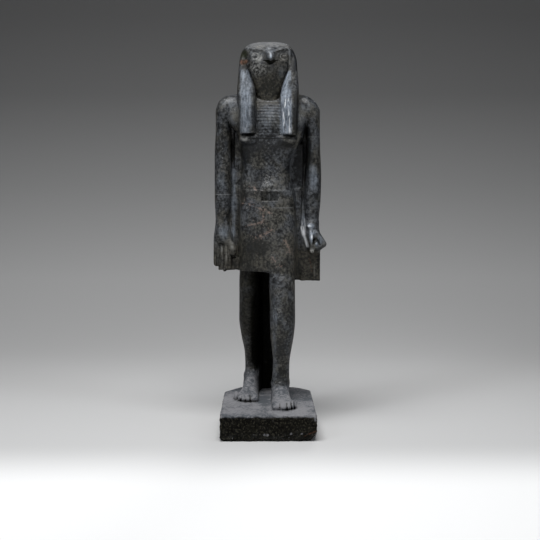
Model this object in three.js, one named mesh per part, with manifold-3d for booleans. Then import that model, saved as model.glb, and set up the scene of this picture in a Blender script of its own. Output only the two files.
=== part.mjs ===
// A life-size striding figure with a falcon's head, cut from one block with its plinth and back pillar.
// Millimetres, +Z up, the face towards -Y, so the figure's right side is at -X.

import * as THREE from "three";
import * as BufferGeometryUtils from "three/addons/utils/BufferGeometryUtils.js";
import Module from "manifold-3d";

// Driving sizes

const figureHeight = 1606;
const carvedHeight = 1606;
const plinthHeight = 110;
const plinthWidth = 411;
const plinthDepth = 665;
const plinthRoughness = 5;
const pillarWidth = 144;
const pillarDepth = 46;
const pillarTop = 1440;
const webThickness = 52;
const sink = 6;

const hemHeight = 576;
const hemDrop = 28;
const beltLow = 885;
const beltHigh = 943;
const beltRise = 2;
const buckle = { right: -34, left: 51, rise: 6, border: 6.5, sunk: 4.5 };
const collar = { low: 1172, high: 1340, rows: 13, right: -52, left: 60, rise: 3 };
const armpitHeight = 1235;
const armWeb = { front: 152, grooveRight: 182, grooveLeft: 205, back: 228 };
const panelLow = 527;

const backFace = plinthDepth / 2;
const pillarFront = backFace - pillarDepth;

const stoneColour = 0x34353a;

const wasm = await Module();
wasm.setup();

// A smooth curve through the given places that never overshoots them

function through(places, values) {
  const last = places.length - 1;
  const slopes = [];
  for (let i = 0; i < last; i++) {
    slopes.push((values[i + 1] - values[i]) / (places[i + 1] - places[i]));
  }
  const tangents = places.map((place, i) => {
    if (i === 0) return slopes[0];
    if (i === last) return slopes[last - 1];
    const before = slopes[i - 1];
    const after = slopes[i];
    if (before * after <= 0) return 0;
    return (2 * before * after) / (before + after);
  });
  return (place) => {
    if (place <= places[0]) return values[0];
    if (place >= places[last]) return values[last];
    const i = places.findIndex((next) => next > place) - 1;
    const span = places[i + 1] - places[i];
    const t = (place - places[i]) / span;
    const h00 = (1 + 2 * t) * (1 - t) ** 2;
    const h10 = t * (1 - t) ** 2;
    const h01 = t * t * (3 - 2 * t);
    const h11 = t * t * (t - 1);
    return (
      h00 * values[i] + h10 * span * tangents[i] + h01 * values[i + 1] + h11 * span * tangents[i + 1]
    );
  };
}

// A member is a run of sections, each row being place, right edge, left edge, front and back

function member(rows, roundness) {
  const places = rows.map((row) => row[0]);
  const [right, left, front, back] = [1, 2, 3, 4].map((column) =>
    through(
      places,
      rows.map((row) => row[column]),
    ),
  );
  return { places, low: places[0], right, left, front, back, roundness };
}

function sectionPoint(shape, place, angle, grow = 0) {
  const power = 2 / shape.roundness;
  const across = Math.sign(Math.cos(angle)) * Math.abs(Math.cos(angle)) ** power;
  const along = Math.sign(Math.sin(angle)) * Math.abs(Math.sin(angle)) ** power;
  const right = shape.right(place) - grow;
  const left = shape.left(place) + grow;
  const front = shape.front(place) - grow;
  const back = shape.back(place) + grow;
  const x = (right + left) / 2 + ((left - right) / 2) * across;
  const y = (front + back) / 2 + ((back - front) / 2) * along;
  return [x, y];
}

// Where the front of a member lies at a given height and distance across

function frontAt(shape, place, x) {
  const middle = (shape.right(place) + shape.left(place)) / 2;
  const reach = (shape.left(place) - shape.right(place)) / 2;
  const share = Math.min(Math.abs(x - middle) / reach, 0.98);
  const depth = (shape.back(place) - shape.front(place)) / 2;
  const centre = (shape.back(place) + shape.front(place)) / 2;
  return centre - depth * (1 - share ** shape.roundness) ** (1 / shape.roundness);
}

// Rings of points joined into one closed skin, its faces turned outwards

function skin(rings) {
  const sides = rings[0].length;
  const points = rings.flat();
  const faces = [];
  for (let i = 0; i + 1 < rings.length; i++) {
    for (let j = 0; j < sides; j++) {
      const next = (j + 1) % sides;
      const a = i * sides + j;
      const b = i * sides + next;
      const c = a + sides;
      const d = b + sides;
      faces.push(a, b, d, a, d, c);
    }
  }
  for (const [start, turned] of [
    [0, true],
    [(rings.length - 1) * sides, false],
  ]) {
    const middle = new THREE.Vector3();
    for (let j = 0; j < sides; j++) {
      middle.addScaledVector(points[start + j], 1 / sides);
    }
    points.push(middle);
    for (let j = 0; j < sides; j++) {
      const a = start + j;
      const b = start + ((j + 1) % sides);
      faces.push(points.length - 1, turned ? b : a, turned ? a : b);
    }
  }
  const geometry = new THREE.BufferGeometry().setFromPoints(points);
  geometry.setIndex(faces);
  return geometry;
}

function solid(geometry) {
  geometry.deleteAttribute("normal");
  geometry.deleteAttribute("uv");
  const merged = BufferGeometryUtils.mergeVertices(geometry, 1e-3);
  const triVerts = new Uint32Array(merged.index.array);
  const vertProperties = new Float32Array(merged.attributes.position.array);
  const made = new wasm.Manifold(new wasm.Mesh({ numProp: 3, vertProperties, triVerts }));
  if (made.volume() >= 0) return made;
  for (let i = 0; i < triVerts.length; i += 3) {
    const kept = triVerts[i];
    triVerts[i] = triVerts[i + 1];
    triVerts[i + 1] = kept;
  }
  return new wasm.Manifold(new wasm.Mesh({ numProp: 3, vertProperties, triVerts }));
}

function union(solids) {
  return solids.reduce((whole, next) => whole.add(next));
}

// Every section of a member, and more between them where they are further apart than the spacing

function levelsOf(shape, spacing) {
  const levels = [shape.low];
  for (let i = 0; i + 1 < shape.places.length; i++) {
    const span = shape.places[i + 1] - shape.places[i];
    const steps = Math.max(1, Math.round(span / spacing));
    for (let k = 1; k <= steps; k++) {
      levels.push(shape.places[i] + (span * k) / steps);
    }
  }
  return levels;
}

// Upright members stand on their heights, lying ones run along the depth

function upright(shape, spacing, sides, place = (x, y, height) => [x, y, height]) {
  const rings = levelsOf(shape, spacing).map((height) => {
    const ring = [];
    for (let j = 0; j < sides; j++) {
      const [x, y] = sectionPoint(shape, height, (2 * Math.PI * (j + 0.5)) / sides);
      ring.push(new THREE.Vector3(...place(x, y, height)));
    }
    return ring;
  });
  return solid(skin(rings));
}

function box(right, left, front, back, low, high) {
  const made = new THREE.BoxGeometry(left - right, back - front, high - low);
  made.translate((right + left) / 2, (front + back) / 2, (low + high) / 2);
  return solid(made);
}

// A round bar through a few points, its thickness given at each point

function bar(points, radii, sides = 8, steps = 3) {
  const path = new THREE.CatmullRomCurve3(points.map((point) => new THREE.Vector3(...point)));
  const thickness = through(
    radii.map((radius, i) => i / (radii.length - 1)),
    radii,
  );
  const count = steps * (points.length - 1);
  const frames = path.computeFrenetFrames(count, false);
  const rings = [];
  const addRing = (t, frame, radius, slide) => {
    const centre = path.getPointAt(t).addScaledVector(frames.tangents[frame], slide);
    const ring = [];
    for (let j = 0; j < sides; j++) {
      const angle = (2 * Math.PI * j) / sides;
      const point = centre.clone();
      point.addScaledVector(frames.normals[frame], radius * Math.cos(angle));
      point.addScaledVector(frames.binormals[frame], radius * Math.sin(angle));
      ring.push(point);
    }
    rings.push(ring);
  };
  addRing(0, 0, radii[0] * 0.5, -radii[0] * 0.8);
  for (let i = 0; i <= count; i++) {
    addRing(i / count, i, thickness(i / count), 0);
  }
  const end = radii[radii.length - 1];
  addRing(1, count, end * 0.5, end * 0.8);
  return solid(skin(rings));
}

function ball(x, y, height, radii, sides = 12) {
  const made = new THREE.SphereGeometry(1, sides, Math.round(sides * 0.6));
  made.scale(...radii);
  made.translate(x, y, height);
  return solid(made);
}

// A strip that lies on the front of a member and stands out from it

function frontStrip(shape, right, left, low, high, rise, steps) {
  const rings = [];
  for (let i = 0; i <= steps; i++) {
    const x = right + ((left - right) * i) / steps;
    const lowFront = frontAt(shape, low, x);
    const highFront = frontAt(shape, high, x);
    rings.push([
      new THREE.Vector3(x, lowFront + sink, low),
      new THREE.Vector3(x, lowFront - rise, low),
      new THREE.Vector3(x, highFront - rise, high),
      new THREE.Vector3(x, highFront + sink, high),
    ]);
  }
  return solid(skin(rings));
}

// Trunk and kilt

const trunk = member(
  [
    [860, -125, 128, 58, 266],
    [940, -124, 121, 62, 266],
    [986, -121, 107, 72, 266],
    [1031, -118, 100, 78, 266],
    [1077, -120, 107, 80, 266],
    [1122, -126, 132, 76, 266],
    [1167, -131, 157, 68, 266],
    [1203, -143, 168, 65, 268],
    [1235, -172, 179, 66, 270],
    [1290, -205, 208, 74, 270],
    [1330, -205, 205, 86, 266],
    [1355, -188, 180, 104, 258],
    [1372, -150, 146, 122, 246],
    [1382, -80, 80, 145, 225],
  ],
  2.7,
);

const kilt = member(
  [
    [hemHeight, -135, 131, 72, 282],
    [680, -132, 131, 60, 282],
    [780, -129, 130, 54, 276],
    [880, -127, 128, 56, 268],
    [beltHigh, -124, 121, 62, 266],
  ],
  3.2,
);

const stride = through([hemHeight, 680, 780, 880, beltHigh], [86, 56, 24, 4, 0]);

function smoothShare(from, to, value) {
  const t = THREE.MathUtils.clamp((value - from) / (to - from), 0, 1);
  return t * t * (3 - 2 * t);
}

function kiltPlace(x, y, height) {
  const forward = smoothShare(-130, 115, x) * smoothShare(250, 60, y);
  const fall = smoothShare(beltLow, hemHeight, height) * hemDrop * smoothShare(-20, 90, x);
  return [x, y - stride(height) * forward, height - fall];
}

function makeBelt() {
  const rings = [beltLow, beltHigh].map((height) => {
    const ring = [];
    for (let j = 0; j < 32; j++) {
      const [x, y] = sectionPoint(kilt, height, (2 * Math.PI * (j + 0.5)) / 32, beltRise);
      const [placedX, placedY] = kiltPlace(x, y, height);
      ring.push(new THREE.Vector3(placedX, placedY, height));
    }
    return ring;
  });
  return solid(skin(rings));
}

function makeBuckle() {
  const front = frontAt(kilt, beltHigh, 0) - buckle.rise;
  const inside = front + buckle.sunk;
  const middle = (buckle.right + buckle.left) / 2;
  const plate = box(buckle.right, buckle.left, front, front + 30, beltLow, beltHigh);
  const edge = buckle.border;
  const low = beltLow + edge;
  const high = beltHigh - edge;
  const rightPane = box(buckle.right + edge, middle - edge / 3, front - 5, inside, low, high);
  const leftPane = box(middle + edge / 3, buckle.left - edge, front - 5, inside, low, high);
  return plate.subtract(rightPane).subtract(leftPane);
}

// Legs and feet

const rightLeg = member(
  [
    [-sink, -112, -42, 158, 266],
    [34, -112, -40, 160, 266],
    [88, -106, -42, 168, 262],
    [140, -100, -44, 174, 256],
    [198, -107, -43, 168, 258],
    [269, -121, -42, 152, 262],
    [348, -131, -40, 138, 264],
    [432, -130, -38, 128, 262],
    [511, -130, -34, 112, 262],
    [640, -122, -34, 125, 262],
  ],
  2.2,
);

const leftLeg = member(
  [
    [-sink, 17, 95, -28, 74],
    [67, 17, 97, -22, 76],
    [120, 21, 97, -12, 74],
    [169, 24, 98, -6, 76],
    [223, 19, 106, -8, 90],
    [290, 12, 118, -10, 108],
    [366, 10, 124, -12, 118],
    [447, 9, 123, -14, 112],
    [524, 6, 123, -12, 122],
    [620, 8, 118, 30, 130],
  ],
  2.2,
);

// A foot's sections run from the toes to the heel, each with its inner edge, outer edge and top

function makeFoot(foot, outward) {
  const lying = foot.rows.map(([place, inner, outer, top]) => [
    place,
    Math.min(inner, outer),
    Math.max(inner, outer),
    -top,
    top,
  ]);
  const body = upright(member(lying, 2.3), 40, 14, (x, height, place) => [x, place, height]);
  const pieces = [body];
  let edge = foot.innerEdge;
  foot.toeWidths.forEach((width, i) => {
    const x = edge + (outward * width) / 2;
    const tip = foot.tips[i];
    const points = [
      [0, tip + toes.length, 17],
      [0, tip + toes.length * 0.5, 19],
      [0, tip + toes.thickness * 0.9, 12],
    ];
    const toe = bar(points, [toes.thickness, toes.thickness * 1.08, toes.thickness * 0.92], 8, 2);
    pieces.push(toe.scale([width / 2 / toes.thickness, 1, 1]).translate([x, 0, 0]));
    edge += outward * width;
  });
  return union(pieces);
}

const toes = { length: 70, thickness: 13 };

const rightFoot = {
  rows: [
    [0, -50, -136, 16],
    [10, -44, -146, 24],
    [34, -42, -146, 34],
    [70, -42, -134, 46],
    [110, -42, -122, 62],
    [160, -42, -115, 84],
    [210, -42, -112, 82],
    [254, -46, -106, 60],
    [268, -54, -96, 36],
  ],
  innerEdge: -45,
  toeWidths: [34, 21, 18, 17, 16],
  tips: [-45, -46, -42, -26, 2],
};

const leftFoot = {
  rows: [
    [-186, 28, 108, 16],
    [-176, 20, 116, 25],
    [-156, 16, 116, 35],
    [-115, 14, 108, 48],
    [-70, 15, 102, 64],
    [-20, 16, 98, 84],
    [24, 17, 97, 82],
    [60, 21, 91, 60],
    [72, 30, 82, 36],
  ],
  innerEdge: 18,
  toeWidths: [32, 30, 19, 13, 11],
  tips: [-233, -235, -226, -212, -196],
};

// Arms and hands

const rightArm = member(
  [
    [700, -247, -162, 112, 204],
    [730, -245, -166, 108, 206],
    [767, -240, -172, 112, 206],
    [804, -237, -173, 118, 204],
    [895, -241, -164, 116, 216],
    [1009, -241, -162, 118, 226],
    [1122, -240, -164, 114, 230],
    [1212, -235, -166, 106, 236],
    [1293, -235, -150, 100, 244],
    [1334, -224, -135, 110, 240],
    [1350, -211, -130, 120, 232],
    [1362, -195, -135, 134, 220],
    [1369, -175, -145, 150, 205],
  ],
  2.3,
);

const leftArm = member(
  [
    [740, 170, 238, 106, 206],
    [767, 174, 233, 112, 206],
    [804, 171, 234, 118, 204],
    [895, 166, 242, 116, 216],
    [1009, 174, 245, 118, 226],
    [1122, 180, 240, 114, 230],
    [1212, 174, 238, 106, 236],
    [1293, 150, 238, 100, 244],
    [1334, 135, 221, 110, 240],
    [1350, 130, 204, 120, 232],
    [1362, 135, 186, 134, 220],
    [1369, 145, 168, 150, 205],
  ],
  2.3,
);

const fist = member(
  [
    [652, 192, 230, 120, 196],
    [664, 185, 238, 104, 208],
    [690, 180, 242, 99, 212],
    [715, 177, 240, 100, 212],
    [745, 175, 238, 101, 210],
    [772, 174, 234, 109, 207],
    [800, 172, 234, 117, 204],
  ],
  2.6,
);

// The open hand's fingers, little finger first, their tips broken off unevenly

const fingers = { centres: [-231, -206, -188, -173], tips: [594, 581, 579, 580], radii: [14.5, 11, 10, 8] };

function makeOpenHand() {
  const pieces = [
    box(-243, -168, 124, 200, 596, 716),
    box(-224, -168, 124, 200, 578, 640),
    box(-172, -122, 130, 206, 579, 634),
    ball(-200, 142, 740, [33, 24, 66], 10),
  ];
  fingers.centres.forEach((x, i) => {
    const radius = fingers.radii[i];
    const points = [
      [x, 126, fingers.tips[i] + radius],
      [x, 121, 630],
      [x, 134, 704],
    ];
    pieces.push(bar(points, [radius, radius * 1.02, radius], 8, 1));
  });
  const thumb = [
    [-190, 130, 722],
    [-158, 123, 676],
    [-155, 125, 657],
  ];
  pieces.push(bar(thumb, [14, 16, 14], 8, 2));
  return union(pieces);
}

// The fist's curled fingers lie one behind another, each at its own depth

const curled = { depths: [96, 121, 145, 168], thickness: 15 };

function makeFist() {
  const thick = curled.thickness;
  const fingerBars = curled.depths.map((depth) => {
    const points = [
      [222, depth + 4, 744],
      [251, depth, 698],
      [226, depth - 2, 678],
    ];
    return bar(points, [thick, thick, thick - 2], 6, 1);
  });
  const thumb = [
    [196, 112, 762],
    [197, 90, 724],
    [200, 88, 669],
  ];
  const rod = [
    [219, 150, 698],
    [219, 92, 698],
  ];
  const hand = union([upright(fist, 30, 16), ...fingerBars]);
  const opened = hand.subtract(ball(219, 84, 703, [13, 11, 17], 8));
  const wrist = ball(195, 124, 778, [22, 17, 14], 8);
  return union([opened, wrist, bar(thumb, [9, 10, 9.5], 8, 2), bar(rod, [9, 9], 8, 1)]);
}

// Stone left between the limbs and behind the body

const webEdge = [
  [150, 176, 900],
  [158, 160, 800],
  [161, 154, 735],
  [168, 153, 680],
];

// A block between two sides whose front leans through the given heights and depths

function ramp(right, left, leaning) {
  const rings = leaning.map(([height, front]) =>
    [
      [right, front],
      [left, front],
      [left, armWeb.back],
      [right, armWeb.back],
    ].map(([x, y]) => new THREE.Vector3(x, y, height)),
  );
  return solid(skin(rings));
}

function makeWebs() {
  const { front, grooveRight, grooveLeft, back } = armWeb;
  const webs = [
    box(-176, -108, front, back, 587, 960),
    box(-140, -100, front, back, 940, 1060),
    box(-150, -100, front, back, 1040, 1205),
    box(-180, -100, grooveRight, back, 940, armpitHeight + 20),
    box(92, 178, front, back, 640, 860),
    box(90, 152, front, back, 840, 950),
    box(90, 161, front, back, 930, 1150),
    box(90, 184, grooveLeft, back, 840, armpitHeight + 20),
    // behind the arms the stone runs on, level across the back
    box(-196, 0, grooveRight + 8, back, 587, armpitHeight + 20),
    box(0, 196, grooveLeft + 1, back, 587, armpitHeight + 20),
    box(150, 240, front - 12, back - 6, panelLow, 700),
    box(100, 156, front - 2, back - 6, panelLow + 5, 690),
    box(34, 34 + webThickness, 60, pillarFront + sink, -sink, 620),
    // the slots beside the arms run out gradually
    ramp(-182, -134, [
      [930, front],
      [1018, front + 5],
      [1084, (front + grooveRight) / 2],
      [1150, grooveRight],
    ]),
    ramp(146, 186, [
      [830, front],
      [922, front + 5],
      [991, (front + grooveLeft) / 2],
      [1060, grooveLeft],
    ]),
    // beside the kilt the stone comes further forward
    ramp(112, 153, [
      [560, 144],
      [650, 132],
      [850, 130],
      [940, front + 2],
    ]),
  ];
  const plan = [
    [-104, 200],
    [-46, 200],
    [-20, pillarFront + sink],
    [-84, pillarFront + sink],
  ];
  webs.push(bar(webEdge, [14, 17, 18, 15], 8, 2));
  const rings = [-sink, 620].map((height) => plan.map(([x, y]) => new THREE.Vector3(x, y, height)));
  webs.push(solid(skin(rings)));
  return union(webs);
}

function makePillar() {
  const half = pillarWidth / 2;
  const slab = box(-half + 4, half + 4, pillarFront, backFace, -sink, pillarTop);
  const spine = box(-half + 12, half - 4, pillarFront - 46, pillarFront + sink, 560, pillarTop - 60);
  return slab.add(spine);
}

// Headcloth, face and beak

const headcloth = member(
  [
    [1322, -132, 136, 150, 262],
    [1345, -139, 143, 132, 284],
    [1401, -136, 139, 110, 294],
    [1455, -133, 136, 92, 298],
    [1509, -128, 134, 78, 297],
    [1536, -124, 129, 72, 292],
    [1560, -116, 120, 70, 282],
    [1574, -107, 112, 76, 272],
    [1588, -93, 101, 92, 256],
    [1599, -70, 80, 116, 234],
    [1606, -34, 46, 146, 204],
  ],
  3,
);

const rightLappet = member(
  [
    [1196, -123, -52, 42, 120],
    [1230, -125, -51, 36, 124],
    [1300, -127, -51, 34, 130],
    [1345, -134, -52, 40, 150],
    [1388, -137, -55, 50, 170],
    [1420, -135, -64, 58, 180],
    [1456, -132, -76, 69, 180],
    [1490, -129, -85, 79, 180],
    [1525, -125, -88, 90, 180],
    [1552, -115, -89, 104, 180],
  ],
  3.4,
);

const leftLappet = member(
  [
    [1190, 61, 130, 42, 120],
    [1230, 59, 133, 36, 124],
    [1300, 57, 136, 34, 130],
    [1345, 55, 140, 40, 150],
    [1388, 63, 140, 50, 170],
    [1420, 71, 139, 58, 180],
    [1456, 83, 136, 69, 180],
    [1490, 92, 133, 79, 180],
    [1525, 94, 130, 90, 180],
    [1552, 94, 121, 104, 180],
  ],
  3.4,
);

const face = member(
  [
    [1319, -27, 45, 96, 200],
    [1338, -36, 50, 92, 210],
    [1360, -52, 60, 90, 210],
    [1380, -62, 69, 87, 210],
    [1418, -74, 81, 80, 210],
    [1456, -85, 92, 71, 210],
    [1480, -91, 97, 65, 210],
    [1512, -95, 101, 59, 210],
    [1540, -96, 102, 58, 210],
    [1562, -96, 102, 66, 210],
    [1580, -86, 92, 86, 200],
  ],
  3.6,
);

const beak = member(
  [
    [1511, 9, 17, 33, 60],
    [1516, 3, 22, 27, 90],
    [1521, -3, 28, 22, 95],
    [1527, -7, 32, 22, 95],
    [1538, -9, 34, 27, 95],
    [1550, -13, 37, 36, 95],
    [1561, -17, 40, 49, 95],
    [1574, -16, 38, 62, 95],
    [1584, -6, 28, 80, 95],
  ],
  1.9,
);

const eyes = [
  { x: -55, height: 1534, browInner: -8, browOuter: -88 },
  { x: 73, height: 1533, browInner: 31, browOuter: 93 },
];

function makeHead() {
  let faceFront = upright(face, 45, 22);
  const pieces = [];
  for (const { x, height, browInner, browOuter } of eyes) {
    const front = frontAt(face, height, x);
    faceFront = faceFront.subtract(ball(x, front - 1, height - 1, [22, 8, 14], 10));
    pieces.push(ball(x, front + 8, height, [12, 8, 9], 8));
    const middle = (browInner + browOuter) / 2;
    const brow = [
      [browInner, frontAt(face, 1552, browInner) + 3, 1553],
      [middle, frontAt(face, 1560, middle) + 2, 1561],
      [browOuter, frontAt(face, 1568, browOuter) + 4, 1569],
    ];
    pieces.push(bar(brow, [8, 10, 7], 6, 2));
  }
  // The mouth is a cleft under the beak
  const cleft = [
    [-24, 59, 1515],
    [12, 55, 1506],
    [48, 59, 1515],
  ];
  faceFront = faceFront.subtract(bar(cleft, [3, 9, 3], 6, 2));
  return union([
    upright(headcloth, 55, 26),
    upright(rightLappet, 60, 14),
    upright(leftLappet, 60, 14),
    faceFront,
    upright(beak, 20, 12),
    ...pieces,
  ]);
}

function makeChest() {
  const pieces = [
    ball(-74, 110, 1174, [62, 48, 38]),
    ball(82, 110, 1172, [66, 48, 38]),
    frontStrip(trunk, -112, 118, collar.low - 16, collar.low - 5, collar.rise, 6),
  ];
  const pitch = (collar.high - collar.low) / collar.rows;
  for (let i = 0; i < collar.rows; i++) {
    const low = collar.low + pitch * (i + 0.3);
    const high = collar.low + pitch * (i + 1);
    pieces.push(frontStrip(trunk, collar.right, collar.left, low, high, collar.rise, 2));
  }
  return union(pieces);
}

// Plinth, rough at the sides, its back corners cut away, flat underneath and on top

// A break is a plane: a point on it in the plinth's own heights, the way it faces and how far it reaches

const plinthBreaks = [
  { spot: [197, -322, 107], way: [0.75, -0.35, 0.55], reach: 46 },
  { spot: [191, -328, 22], way: [0.8, -0.2, -0.58], reach: 90 },
  { spot: [-199, -328, 10], way: [-0.7, -0.3, -0.65], reach: 60 },
  { spot: [-200, -300, 107], way: [-0.55, -0.25, 0.8], reach: 50 },
  { spot: [-203, 60, 7], way: [-0.75, 0.05, -0.65], reach: 90 },
  { spot: [150, 310, 106], way: [0.5, 0.6, 0.62], reach: 60 },
  { spot: [203, 90, 10], way: [0.7, 0.05, -0.7], reach: 110 },
];

function brokenOff({ spot, way, reach }) {
  const made = new THREE.BoxGeometry(2 * reach, 2 * reach, reach);
  made.translate(0, 0, reach / 2);
  const facing = new THREE.Vector3(...way).normalize();
  const turn = new THREE.Quaternion().setFromUnitVectors(new THREE.Vector3(0, 0, 1), facing);
  made.applyQuaternion(turn);
  made.translate(...spot);
  return solid(made);
}

function makePlinth() {
  const half = plinthWidth / 2;
  const front = -plinthDepth / 2;
  const outline = [
    [-half, front],
    [half, front],
    [half - 4, backFace - 80],
    [half * 0.81, backFace - 40],
    [half * 0.68, backFace],
    [-half * 0.62, backFace],
    [-half * 0.97, backFace - 117],
  ];
  const points = [];
  outline.forEach(([x, y], i) => {
    const [nextX, nextY] = outline[(i + 1) % outline.length];
    const steps = Math.max(1, Math.round(Math.hypot(nextX - x, nextY - y) / 48));
    for (let k = 0; k < steps; k++) {
      const t = k / steps;
      points.push([x + (nextX - x) * t, y + (nextY - y) * t]);
    }
  });
  const levels = [
    [0, 7],
    [plinthHeight * 0.1, 1.5],
    [plinthHeight * 0.45, 0],
    [plinthHeight * 0.85, 0],
    [plinthHeight, 4],
  ];
  const rings = levels.map(([height, inset], level) =>
    points.map(([x, y], i) => {
      const wander = THREE.MathUtils.seededRandom(level * 100 + i) * plinthRoughness;
      const inward = 1 - (inset + wander) / Math.hypot(x, y);
      return new THREE.Vector3(x * inward, y * inward, height);
    }),
  );
  const block = solid(skin(rings));
  return plinthBreaks.reduce((whole, next) => whole.subtract(brokenOff(next)), block);
}

// All of it is one stone, so every part is joined into one solid

function makeFigure() {
  const body = union([
    upright(trunk, 50, 28),
    upright(kilt, 60, 34, kiltPlace),
    makeBelt(),
    makeBuckle(),
    makeChest(),
    upright(rightLeg, 60, 18),
    upright(leftLeg, 60, 18),
    makeFoot(rightFoot, -1),
    makeFoot(leftFoot, 1),
    upright(rightArm, 60, 16),
    upright(leftArm, 60, 16),
    makeOpenHand(),
    makeFist(),
    makeWebs(),
    makePillar(),
    makeHead(),
  ]);
  const share = figureHeight / carvedHeight;
  const placed = body.scale([share, share, share]).translate([0, 0, plinthHeight]);
  const joined = placed.add(makePlinth());
  const size = plinthWidth * 4;
  const belowGround = box(-size, size, -size, size, -200, 0);
  const carved = joined.subtract(belowGround).simplify(0.5);
  const pocketless = carved.decompose().filter((body) => body.volume() > 0);
  return union(pocketless);
}

function toGeometry(made) {
  const { vertProperties, triVerts } = made.getMesh();
  const geometry = new THREE.BufferGeometry();
  geometry.setAttribute("position", new THREE.BufferAttribute(vertProperties, 3));
  geometry.setIndex(new THREE.BufferAttribute(triVerts, 1));
  geometry.computeVertexNormals();
  return geometry;
}

const stone = new THREE.MeshStandardMaterial({ color: stoneColour, roughness: 0.45, metalness: 0 });
const figure = new THREE.Mesh(toGeometry(makeFigure()), stone);
figure.name = "horus_figure";

const part = new THREE.Group();
part.name = "horus_statue";
part.add(figure);

export default part;
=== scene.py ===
import math

import bpy
import numpy as np
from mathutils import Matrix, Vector


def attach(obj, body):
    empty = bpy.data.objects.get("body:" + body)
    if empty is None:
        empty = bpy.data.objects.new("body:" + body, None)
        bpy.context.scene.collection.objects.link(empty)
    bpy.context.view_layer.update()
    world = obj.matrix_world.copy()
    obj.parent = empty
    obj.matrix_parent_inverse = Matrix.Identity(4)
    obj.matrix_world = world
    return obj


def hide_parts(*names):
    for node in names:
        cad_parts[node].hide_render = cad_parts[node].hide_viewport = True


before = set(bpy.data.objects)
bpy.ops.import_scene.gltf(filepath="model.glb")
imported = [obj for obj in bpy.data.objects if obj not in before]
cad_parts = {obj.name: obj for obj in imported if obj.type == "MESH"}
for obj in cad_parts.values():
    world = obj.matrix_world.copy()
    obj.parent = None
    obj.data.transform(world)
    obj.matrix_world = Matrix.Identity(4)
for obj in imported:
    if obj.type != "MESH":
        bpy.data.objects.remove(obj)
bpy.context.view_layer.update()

# Shapes are carved in millimetres above the soles, as a field of distances on a grid.
# The face looks towards -Y, so the figure's right side is at -X.

mm = 0.001  # in metres

carving = {
    "step": 2.7,          # grid spacing, mm
    "quickStep": 6.0,
    "low": (-262, -342, -118),  # the grid's two far corners
    "high": (284, 342, 1618),
    "triangles": 192000,  # what is left after thinning
    "edge": 2.5,          # rounding where forms meet, mm
}

plinthSize = {"width": 411, "depth": 665, "height": 110}
backFace = plinthSize["depth"] / 2
pillar = {"width": 144, "depth": 46, "top": 1440, "middle": 4}
pillarFront = backFace - pillar["depth"]

step = carving["step"]
axes = [
    np.arange(low, high, step, dtype=np.float32)
    for low, high in zip(carving["low"], carving["high"])
]
farAway = 60.0
field = np.full([len(axis) for axis in axes], farAway, dtype=np.float32)


# Small tools for the carving

def through(places, values, at):
    # a smooth curve through the given places that never overshoots them
    places = np.asarray(places, dtype=np.float64)
    values = np.asarray(values, dtype=np.float64)
    spans = np.diff(places)
    slopes = np.diff(values) / spans
    tangents = np.zeros(len(places))
    tangents[0], tangents[-1] = slopes[0], slopes[-1]
    for i in range(1, len(places) - 1):
        before, after = slopes[i - 1], slopes[i]
        if before * after > 0:
            tangents[i] = 2 * before * after / (before + after)
    at = np.clip(at, places[0], places[-1])
    i = np.clip(np.searchsorted(places, at, side="right") - 1, 0, len(spans) - 1)
    t = (at - places[i]) / spans[i]
    curve = (1 + 2 * t) * (1 - t) ** 2 * values[i] + t * (1 - t) ** 2 * spans[i] * tangents[i]
    curve += t * t * (3 - 2 * t) * values[i + 1] + t * t * (t - 1) * spans[i] * tangents[i + 1]
    return curve.astype(np.float32)


def fade(start, end, value):
    t = np.clip((value - start) / (end - start), 0, 1)
    return t * t * (3 - 2 * t)


def smoothMin(a, b, blend):
    mix = np.clip(0.5 + 0.5 * (b - a) / blend, 0, 1)
    return b + (a - b) * mix - blend * mix * (1 - mix)


def smoothMax(a, b, blend):
    return -smoothMin(-a, -b, blend)


def ovalDistance(u, v, uLow, uHigh, vLow, vHigh, roundness):
    uReach = (uHigh - uLow) / 2
    vReach = (vHigh - vLow) / 2
    a = np.abs(u - (uLow + uHigh) / 2) / uReach + 1e-5
    b = np.abs(v - (vLow + vHigh) / 2) / vReach + 1e-5
    size = (a ** roundness + b ** roundness) ** (1 / roundness)
    slope = np.hypot((a / size) ** (roundness - 1) / uReach, (b / size) ** (roundness - 1) / vReach)
    return (size - 1) / slope


def member(rows, roundness, along=2, edge=6.0, bend=None):
    # rows: place along the member, then its two edges across and its two edges in depth
    table = np.asarray(rows, dtype=np.float64)
    places = table[:, 0]
    low = [table[:, 1].min(), 0, 0]
    high = [table[:, 2].max(), 0, 0]
    other = 1 if along == 2 else 2
    low[along], high[along] = places[0], places[-1]
    low[other], high[other] = table[:, 3].min(), table[:, 4].max()

    def distance(x, y, z):
        if bend:
            x, y, z = bend(x, y, z)
        place, v = (z, y) if along == 2 else (y, z)
        edges = [through(places, table[:, column], place) for column in (1, 2, 3, 4)]
        side = ovalDistance(x, v, *edges, roundness)
        ends = np.maximum(places[0] - place, place - places[-1])
        return smoothMax(side, ends, edge)

    return low, high, distance


def block(low, high, edge=3.0):
    centre = [(a + b) / 2 for a, b in zip(low, high)]
    reach = [(b - a) / 2 - edge for a, b in zip(low, high)]

    def distance(x, y, z):
        gaps = [np.abs(p - c) - r for p, c, r in zip((x, y, z), centre, reach)]
        outside = np.sqrt(sum(np.maximum(gap, 0) ** 2 for gap in gaps))
        return outside + np.minimum(np.maximum(np.maximum(gaps[0], gaps[1]), gaps[2]), 0) - edge

    return low, high, distance


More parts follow.
